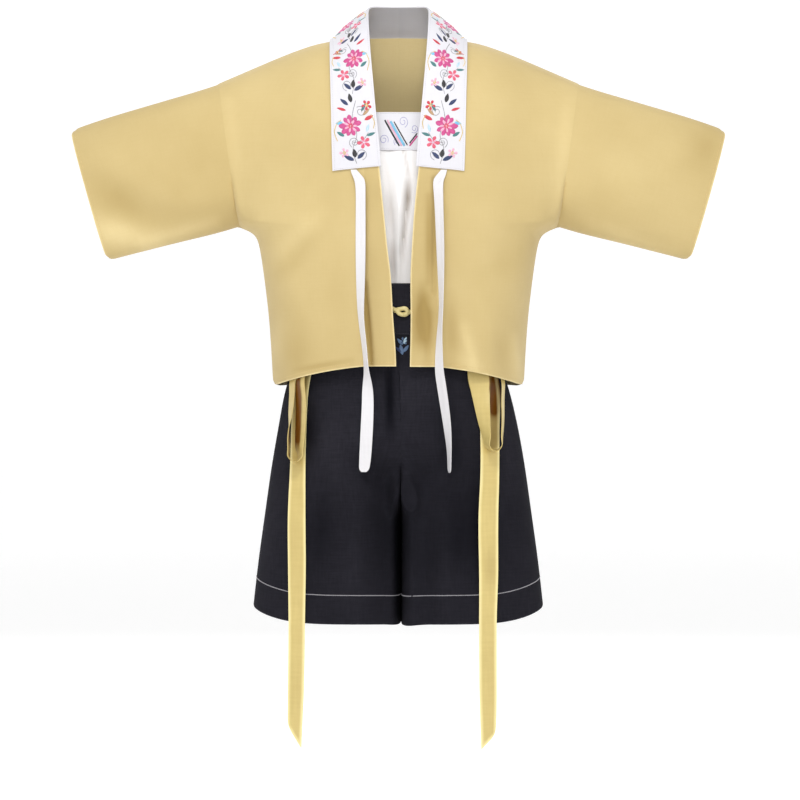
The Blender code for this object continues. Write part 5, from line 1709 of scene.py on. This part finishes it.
@dataclass
class Shorts:
    """Waistband and four wide panels in near-black navy."""

    frame: dict
    centre_x: float = 0.004
    leg_x: float = 0.104
    hem_z: float = -0.820
    crotch_z: float = -0.645
    stitch_up: float = 0.0425
    cloth_thick: float = 1.8 * MM
    fork_z: float = -0.622
    crown_share: float = 0.97
    front_cut: Cut = Cut(0.34, 0.43, 0.126)
    back_cut: Cut = Cut(0.34, 0.43, 0.126)
    band_cut: Cut = Cut(0.37, 0.076)
    pieces: dict[str, Piece] = field(default_factory=dict)

    creases = {
        "right": (
            Crease(-0.0140, -0.450, -0.0120, -0.560, 0.0060, -0.0050, 0.3),
            Crease(-0.0030, -0.655, -0.0900, -0.590, 0.0180, -0.0018, 0.3),
            Crease(-0.0500, -0.500, -0.0560, -0.650, 0.0140, 0.0024),
            Crease(-0.1050, -0.600, -0.1200, -0.800, 0.0140, -0.0040, 0.3),
            Crease(-0.0600, -0.680, -0.0650, -0.830, 0.0160, 0.0036, 0.4),
            Crease(-0.1500, -0.480, -0.1750, -0.640, 0.0120, 0.0026),
        ),
        "left": (
            Crease(0.0110, -0.655, 0.1000, -0.585, 0.0180, -0.0018, 0.3),
            Crease(0.0600, -0.480, 0.0520, -0.640, 0.0140, 0.0024),
            Crease(0.1150, -0.600, 0.1250, -0.800, 0.0140, -0.0040, 0.3),
            Crease(0.0650, -0.690, 0.0700, -0.840, 0.0160, 0.0036, 0.4),
            Crease(0.1500, -0.500, 0.1660, -0.650, 0.0110, 0.0024),
        ),
    }
    # Painted shade (above zero) between the legs, in the front pleat and on the lower legs, and
    # painted light (below zero) on the lit places
    tones = (
        Crease(-0.0020, -0.695, -0.0020, -0.850, 0.0045, 0.35, 0.6),
        Crease(-0.0130, -0.478, -0.0120, -0.575, 0.0075, 0.55, 0.4),
        Crease(-0.0800, -0.700, 0.1000, -0.730, 0.070, 0.40, 0.6),
        Crease(0.0700, -0.590, 0.0500, -0.520, 0.022, 0.30, 0.4),
        Crease(0.0900, -0.760, 0.1000, -0.640, 0.030, 0.25, 0.4),
        Crease(-0.1300, -0.540, -0.1300, -0.600, 0.014, 0.45, 0.3),
        Crease(-0.1000, -0.540, -0.1050, -0.640, 0.036, -0.35, 0.4),
        Crease(0.0100, -0.490, 0.0400, -0.530, 0.030, -0.20, 0.4),
        Crease(-0.2000, -0.620, -0.2050, -0.800, 0.030, -0.35, 0.4),
        Crease(0.0400, -0.650, 0.0300, -0.760, 0.020, -0.15, 0.4),
    )

    def build(self) -> None:
        """Make the panels and the waistband."""
        for side, sign in SIDES.items():
            for part, way in (("front", -1), ("back", 1)):
                name = f"shorts_{part}_{side}"
                panel = Piece(self.frame, name, SHORTS, "shorts_cloth",
                              centre=(sign * self.leg_x, 0.0))
                panel.press(self.creases[side], way)
                outside = panel.facing_out(way)
                panel.move(lambda points: self.close_legs(points, outside))
                # painted shade and light from the patches and creases, over a base tint that
                # leaves room for the light
                panel.paint(self.tones, 0.35, self.creases[side])
                self.pieces[name] = panel
            self.pieces[f"shorts_front_{side}"].join(self.pieces[f"shorts_back_{side}"])
        for part in ("front", "back"):
            self.pieces[f"shorts_{part}_right"].join(self.pieces[f"shorts_{part}_left"],
                                                     self.crotch_z)
        for part in ("front", "back"):
            name = f"waistband_{part}"
            self.pieces[name] = Piece(self.frame, name, SHORTS, "shorts_cloth")

    def is_hem(self, spot: RimSpot) -> bool:
        """Tell whether a place is on a leg's hem."""
        return spot.place.z < self.hem_z and spot.out.z < -0.7

    def close_legs(self, points: np.ndarray, outside: np.ndarray) -> np.ndarray:
        """Bring the cloth forward beside the centre line, where the legs hang side by side.

        Args:
            points: a panel's points.
            outside: 1 for a point on the cloth's outer face and 0 for one on its inner face.

        Returns:
            The shift of each point.
        """
        shift = np.zeros_like(points)
        height = points[:, 2]
        away = points[:, 0] - self.centre_x
        near = np.exp(-np.abs(away / np.where(away > 0, 0.023, 0.017)) ** 2.4)
        low = ramp(height, self.fork_z, -0.0015)
        reach = np.clip(np.abs(away) + 0.03 * MM, 0, 1.0 * MM)
        shift[:, 0] = -np.sign(away) * reach * low * bump(away, 0, 0.006)
        rise = 8 * ramp(height, -0.56, -0.02)
        rise += np.where(away > 0, 34, 16) * ramp(height, -0.64, -0.012)
        rise += 50 * bump(height, -0.662, 0.026)
        soft = 0.012 + np.where(away > 0, 0, 0.018) * ramp(height, -0.70, -0.012)
        depth = np.abs(points[:, 1])
        crown = edges_along(depth, height, 24 * MM)[1]
        limit = self.crown_share * crown - (1 - outside) * self.cloth_thick
        raised = np.minimum(depth + rise * MM * near * np.tanh(depth / soft), limit)
        shift[:, 1] = np.sign(points[:, 1]) * np.maximum(raised - depth, 0)
        seat = 11 * MM * bump(height, -0.619, 0.022)
        shift[:, 1] += seat * np.tanh(np.maximum(points[:, 1], 0) / 0.03)
        return shift

    def sew(self) -> None:
        """Lay the hems' light topstitch, the waistband's stitches and the blue sprig."""
        work = Threadwork("shorts_topstitch")
        lines = []
        for side, sign in SIDES.items():
            for part in ("front", "back"):
                panel = self.pieces[f"shorts_{part}_{side}"]
                lines.append(panel.edge_line(
                    self.is_hem, lambda p: 0.1 * math.atan2(p.x - sign * self.leg_x, -p.y),
                    self.stitch_up))
        work.stitch(lines, PALE_SEWING, 2.6 * MM, 2.9 * MM, 1.7 * MM)
        work.finish("shorts_cloth")
        bands = [self.pieces["waistband_front"], self.pieces["waistband_back"]]
        edge = Threadwork("waistband_stitches", RoundGround(bands, 0.12))
        turns = [i * 6 * MM for i in range(127)]
        edge.stitch([[(u, -0.3530) for u in turns], [(u, -0.4250) for u in turns]], DARK_SEWING,
                    3 * MM, 2.4 * MM, 0.5 * MM)
        edge.finish("shorts_cloth")
        fronts = [self.pieces["shorts_front_right"], self.pieces["shorts_front_left"],
                  self.pieces["waistband_front"]]
        sprig = Threadwork("shorts_sprig", Ground(fronts))
        for across, up, turn, length, width, thread in (
                (0.0060, -0.4560, 12, 0.0160, 0.0062, DENIM),
                (0.0070, -0.4520, -38, 0.0130, 0.0052, DENIM),
                (0.0050, -0.4520, 52, 0.0120, 0.0050, NAVY),
                (0.0080, -0.4400, -20, 0.0110, 0.0046, ICE),
                (0.0040, -0.4400, 34, 0.0100, 0.0044, DENIM)):
            sprig.pad(Pad.LEAF, across, up, turn, length, width, thread)
        sprig.bloom(0.0070, -0.4360, 5, 0.0052, DENIM, 0.8 * MM, 0.2)
        sprig.finish("shorts_cloth")

    def finish(self) -> None:
        for name, piece in self.pieces.items():
            piece.mark_hem(self.is_hem)
            cut = self.front_cut if "front" in name else self.back_cut
            piece.finish(self.band_cut if name.startswith("waist") else cut)


@dataclass(frozen=True)
class Turn:
    """How far the front and rear edge of a loop's strand go across, down to a height.

    Lean moves the strand's top across, and spread widens it there.
    """

    front: float
    rear: float
    low: float
    lean: float = 0.0
    spread: float = 0.0


@dataclass
class Ribbons:
    """Belt, knots, loops and tails in yellow satin."""

    frame: dict
    belt_cut: Cut = Cut(0.024, 0.13)
    back_cut: Cut = Cut(0.024, 0.33)
    left_loop_cut: Cut = Cut(0.028, 0.27)
    right_loop_cut: Cut = Cut(0.028, 0.34)
    tail_cut: Cut = Cut(0.026, 0.62)
    loop_top: float = -0.455
    lean_z: float = -0.503
    pieces: dict[str, Piece] = field(default_factory=dict)

    # Across and up in mm, and how far the strand stands off the waistband
    knot_guides = {
        "right": ((-26, -394, 1.5), (-14, -387.5, 2), (-8, -388.5, 3.5), (-3, -391.5, 4.5),
                  (1, -395, 4.8), (5.5, -397.3, 4.5), (10, -397, 3), (14, -394.5, 2.5),
                  (20, -392.5, 2), (27, -392, 1.5)),
        "left": ((-8, -392, 1.5), (-3, -390.5, 2.5), (2, -388.8, 4), (8, -388.2, 4.8),
                 (12.2, -390, 4.8), (13, -393.5, 3.5), (10, -396, 2), (5, -397, 1)),
    }

    # Heights, and the places across where the two strands part
    loop_parts = {
        "right": ((-0.600, -0.495, -0.465, -0.436, -0.410),
                  (-0.153, -0.151, -0.138, -0.125, -0.117)),
        "left": ((-0.600, -0.500, -0.465, -0.436, -0.410), (0.141, 0.142, 0.133, 0.123, 0.112)),
    }
    loop_turns = {
        "right": (Turn(6.0 * MM, -2.0 * MM, -0.555, -5.5 * MM),
                  Turn(0.8 * MM, -5.0 * MM, -0.600, -5.5 * MM)),
        "left": (Turn(0.0, -1.0 * MM, -0.600, 0.0, 0.42),
                 Turn(-0.6 * MM, 4.6 * MM, -0.585, 3.0 * MM)),
    }
    tail_creases = {
        "right": (
            Crease(-0.1620, -0.640, -0.1400, -0.660, 3 * MM, -0.8 * MM, 0.6),
            Crease(-0.1600, -0.860, -0.1420, -0.850, 3 * MM, 0.7 * MM, 0.6),
        ),
        "left": (
            Crease(0.1250, -0.735, 0.1450, -0.752, 2.5 * MM, -1.2 * MM, 0.7),
            Crease(0.1250, -0.765, 0.1450, -0.785, 2.5 * MM, -1.4 * MM, 0.7),
            Crease(0.1250, -0.795, 0.1450, -0.818, 3 * MM, 1.2 * MM, 0.6),
            Crease(0.1280, -0.900, 0.1420, -0.915, 3 * MM, -0.9 * MM, 0.6),
        ),
    }
    # Painted shade: brown on the tails' tops where the loops shade them, and a little by the left
    # tail's lower creases
    tail_shades = {
        "right": (Crease(-0.1400, -0.450, -0.1400, -0.480, 4 * MM, 0.30, 0.8),),
        "left": (Crease(0.1490, -0.450, 0.1415, -0.534, 11 * MM, 1.50, 0.9),
                 Crease(0.1400, -0.530, 0.1400, -0.590, 8 * MM, 0.35, 0.6),
                 Crease(0.1340, -0.735, 0.1340, -0.800, 9 * MM, 0.20, 0.2)),
    }

    def build(self) -> None:
        """Make every ribbon piece."""
        for side in SIDES:
            for kind, levels in (("belt_front", 2), ("bow_loop", 3), ("ribbon_tail", 3),
                                 ("bow_knot", 2)):
                name = f"{kind}_{side}"
                piece = Piece(self.frame, name, SATIN, "ribbon_satin", levels, Lay.FLAT)
                if kind == "bow_loop":
                    self.turn_loop(piece, side)
                if kind == "ribbon_tail":
                    piece.press(self.tail_creases[side])
                    if side == "left":
                        piece.move(self.widen_tail)
                    # painted shade on the tails
                    piece.paint(self.tail_shades[side])
                self.pieces[name] = piece
        self.pieces["belt_back"] = Piece(self.frame, "belt_back", SATIN, "ribbon_satin", 2)

    @staticmethod
    def widen_tail(points: np.ndarray) -> np.ndarray:
        """Spread the left tail's outer edge where it shows inside the loop.

        Args:
            points: the tail's points.

        Returns:
            The shift of each point.
        """
        shift = np.zeros_like(points)
        outer = np.clip((points[:, 0] - 0.130) / 0.014, 0, 1)
        shift[:, 0] = 5.5 * MM * outer * bump(points[:, 2], -0.497, 0.045)
        return shift

    def tie_knot(self, ground: Ground) -> None:
        """Twist the two strands of the centre knot on the waistband.

        Args:
            ground: the waistband's outside.
        """
        for side, guides in self.knot_guides.items():
            middles = []
            for x, z in smooth_line([(x * MM, z * MM) for x, z, _ in guides], 6):
                middles.append(ground.at(x, z)[0])
            lifts = np.interp(np.linspace(0, len(guides) - 1, len(middles)), range(len(guides)),
                              [lift * MM for _, _, lift in guides])
            middles = [place + Vector((0, -lift, 0)) for place, lift in zip(middles, lifts)]
            mesh = self.strand_mesh(middles, 3.2 * MM, 2.0 * MM)
            mesh.materials.append(SATIN.material())
            store(mesh, "tone", [0.0] * len(mesh.vertices))
            # painted highlight: the knot takes part of the pale hem colour all over
            store(mesh, "rim", [2.5 * MM] * len(mesh.vertices))
            mesh.shade_smooth()
            thing = bpy.data.objects.new(f"belt_knot_{side}_twist", mesh)
            bpy.context.scene.collection.objects.link(thing)
            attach(thing, BODY)
            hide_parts(f"belt_knot_{side}")

    @staticmethod
    def strand_mesh(middles: Sequence[Vector], wide: float, thick: float) -> bpy.types.Mesh:
        """Make a flattened strand along a line, with pointed ends.

        Args:
            middles: the line.
            wide: half its width.
            thick: half its thickness.

        Returns:
            The closed mesh, its UV map in metres.
        """
        around, count = 16, len(middles)
        points, flat = [], []
        for i, middle in enumerate(middles):
            along = (middles[min(i + 1, count - 1)] - middles[max(i - 1, 0)]).normalized()
            across = along.cross(Vector((0, -1, 0))).normalized()
            size = min(1.0, 0.25 + i / 3, 0.25 + (count - 1 - i) / 3)
            for j in range(around):
                angle = 2 * math.pi * j / around
                crimp = 1 + 0.10 * math.cos(3 * angle + 0.5 * i)
                points.append(middle + across * (wide * size * crimp * math.cos(angle))
                              + across.cross(along) * (thick * size * crimp * math.sin(angle)))
                flat.append((wide * math.cos(angle), i * 1.2 * MM))
        faces = [(i * around + j, i * around + (j + 1) % around,
                  (i + 1) * around + (j + 1) % around, (i + 1) * around + j)
                 for i in range(count - 1) for j in range(around)]
        faces += [tuple(range(around))[::-1], tuple(range((count - 1) * around, count * around))]
        mesh = bpy.data.meshes.new("strand")
        mesh.from_pydata(points, [], faces)
        layer = mesh.uv_layers.new(name="cloth")
        for loop in mesh.loops:
            layer.data[loop.index].uv = flat[loop.vertex_index]
        return mesh

    def turn_loop(self, piece: Piece, side: str) -> None:
        """Turn a loop's two strands, and paint shade on the inner faces of its rear part.

        Args:
            piece: the loop.
            side: which loop it is.
        """
        points = read_points(piece.mesh)
        parting = np.interp(points[:, 2], *self.loop_parts[side])
        depth = np.zeros(len(points))
        for strand, turn in zip((points[:, 0] < parting, points[:, 0] >= parting),
                                self.loop_turns[side]):
            height = points[strand, 2]
            front, rear = edges_along(points[strand, 1], height)
            span = np.maximum(rear - front, MM)
            depth[strand] = np.clip((points[strand, 1] - front) / span, 0, 1)
            fade = ramp(height, turn.low, 8 * MM) * ramp(height, self.loop_top, -6 * MM)
            share = depth[strand]
            points[strand, 0] += fade * ((1 - share) * turn.front + share * turn.rear)
            top = ramp(height, self.lean_z, 7 * MM)
            near, far = edges_along(points[strand, 0], height)
            middle = (near + far) / 2
            points[strand, 0] += top * (turn.lean + turn.spread * (points[strand, 0] - middle))
            low = bump(height, points[:, 2].min() + 8 * MM, 9 * MM)
            points[strand, 0] += 3.2 * MM * low * np.sign(points[strand, 0] - parting[strand])
        write_points(piece.mesh, points)
        normals = np.array([vertex.normal for vertex in piece.mesh.vertices])
        inside = normals[:, 0] * np.sign(parting - points[:, 0]) > 0.2
        # painted shade on the inner faces of the loop's rear part
        inside_shade = np.clip((depth - 0.3) / 0.2, 0, 1) * np.clip((points[:, 2] + 0.602) / 0.02, 0, 1)
        store(piece.mesh, "tone", np.where(inside, inside_shade, 0.0))

    def finish(self) -> None:
        cuts = {"belt_front": self.belt_cut, "belt_back": self.back_cut,
                "bow_loop_left": self.left_loop_cut, "bow_loop_right": self.right_loop_cut,
                "ribbon_tail": self.tail_cut}
        for name, piece in self.pieces.items():
            kind = name if name == "belt_back" else name.rsplit("_", 1)[0]
            if kind != "bow_loop":
                # painted highlight in the pale hem colour along the ribbons' edges
                piece.mark_hem(lambda spot: True)
            piece.finish(cuts.get(kind, cuts.get(name)))


@dataclass(frozen=True)
class Lamp:
    """A soft square lamp."""

    name: str
    place: tuple[float, float, float]
    aim: tuple[float, float, float]
    size: float
    watts: float


@dataclass(frozen=True)
class Studio:
    """Pale sweep, soft lamps and the camera."""

    camera_x: float = 0.00225
    camera_z: float = -0.522
    camera_away: float = 4.0
    lens: float = 120.0
    sensor: float = 36.0
    floor_z: float = -1.22
    sweep_start: float = 9.0
    sweep_radius: float = 3.0
    sweep_sides: int = 96
    wall_top: float = 4.0
    sky: float = 0.70
    lamps: tuple[Lamp, ...] = (
        Lamp("key", (-1.1, -2.4, 1.9), (0.0, 0.0, -0.2), 1.0, 7.0),
        Lamp("front", (0.0, -4.4, -0.5), (0.0, 0.0, -0.3), 1.6, 3.0),
        Lamp("low", (-0.4, -2.6, -1.1), (-0.1, 0.0, -0.2), 1.2, 11.0),
        Lamp("fill", (2.0, -2.8, 0.4), (0.0, 0.0, -0.3), 1.8, 3.0),
        Lamp("top", (0.0, -0.9, 2.2), (0.0, 0.0, -0.2), 1.4, 2.0),
        Lamp("neck", (0.0, -1.1, 0.75), (0.0, 0.06, -0.03), 0.35, 8.0),
        Lamp("back", (0.0, 2.6, 1.2), (0.0, 0.0, -0.4), 2.4, 34.0),
    )

    def build(self) -> None:
        """Make the sweep, the lamps, the sky and the camera."""
        self.add_sweep()
        for lamp in self.lamps:
            self.add_lamp(lamp)
        world = bpy.data.worlds.new("studio")
        world.use_nodes = True
        light = world.node_tree.nodes["Background"]
        light.inputs["Color"].default_value = (1.0, 1.0, 1.0, 1.0)
        light.inputs["Strength"].default_value = self.sky
        bpy.context.scene.world = world
        bpy.context.scene.view_settings.view_transform = "Standard"
        camera = bpy.data.cameras.new("camera")
        camera.lens = self.lens
        camera.sensor_width = self.sensor
        thing = bpy.data.objects.new("camera", camera)
        thing.location = (self.camera_x, -self.camera_away, self.camera_z)
        thing.rotation_euler = (math.pi / 2, 0, 0)
        bpy.context.scene.collection.objects.link(thing)
        bpy.context.scene.camera = thing

    def add_sweep(self) -> None:
        """Make the pale round floor that curves up into a low wall."""
        profile = [(0.01, self.floor_z), (self.sweep_start, self.floor_z)]
        for step in range(1, 17):
            angle = math.pi / 2 * step / 16
            profile.append((self.sweep_start + self.sweep_radius * math.sin(angle),
                            self.floor_z + self.sweep_radius * (1 - math.cos(angle))))
        profile.append((self.sweep_start + self.sweep_radius, self.wall_top))
        shape = bmesh.new()
        turns = [2 * math.pi * i / self.sweep_sides for i in range(self.sweep_sides)]
        rows = [[shape.verts.new((far * math.sin(turn), far * math.cos(turn), up))
                 for turn in turns] for far, up in profile]
        for low, high in zip(rows, rows[1:]):
            for i in range(self.sweep_sides):
                other = (i + 1) % self.sweep_sides
                shape.faces.new((low[i], low[other], high[other], high[i]))
        shape.faces.new(rows[0][::-1])
        mesh = bpy.data.meshes.new("studio_sweep")
        shape.to_mesh(mesh)
        shape.free()
        mesh.shade_smooth()
        paper = bpy.data.materials.new("matt white studio paper")
        paper.use_nodes = True
        shader = paper.node_tree.nodes["Principled BSDF"]
        shader.inputs["Base Color"].default_value = linear("#FBFBFB")
        shader.inputs["Roughness"].default_value = 0.95
        shader.inputs["Emission Color"].default_value = linear("#FFFFFF")
        shader.inputs["Emission Strength"].default_value = 0.21
        mesh.materials.append(paper)
        sweep = bpy.data.objects.new("studio_sweep", mesh)
        bpy.context.scene.collection.objects.link(sweep)

    def add_lamp(self, lamp: Lamp) -> None:
        """Make one soft lamp that looks at its aim."""
        light = bpy.data.lights.new(lamp.name, "AREA")
        light.shape = "SQUARE"
        light.size = lamp.size
        light.energy = lamp.watts
        thing = bpy.data.objects.new(lamp.name, light)
        thing.location = lamp.place
        look = Vector(lamp.aim) - Vector(lamp.place)
        thing.rotation_euler = look.to_track_quat("-Z", "Y").to_euler()
        bpy.context.scene.collection.objects.link(thing)


def main() -> None:
    """Build the set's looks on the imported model."""
    logging.basicConfig(level=logging.INFO, format="%(message)s")
    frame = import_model()
    Studio().build()
    jacket = Jacket(frame)
    collar = Collar(frame)
    camisole = Camisole(frame)
    shorts = Shorts(frame)
    ribbons = Ribbons(frame)
    for garment in (jacket, collar, camisole, shorts, ribbons):
        garment.build()
    ribbons.tie_knot(Ground([shorts.pieces["waistband_front"]]))
    jacket.sew()
    shorts.sew()
    collar.embroider()
    camisole.embroider()
    for garment in (jacket, collar, camisole, shorts, ribbons):
        garment.finish()


if __name__ == "__main__":
    main()
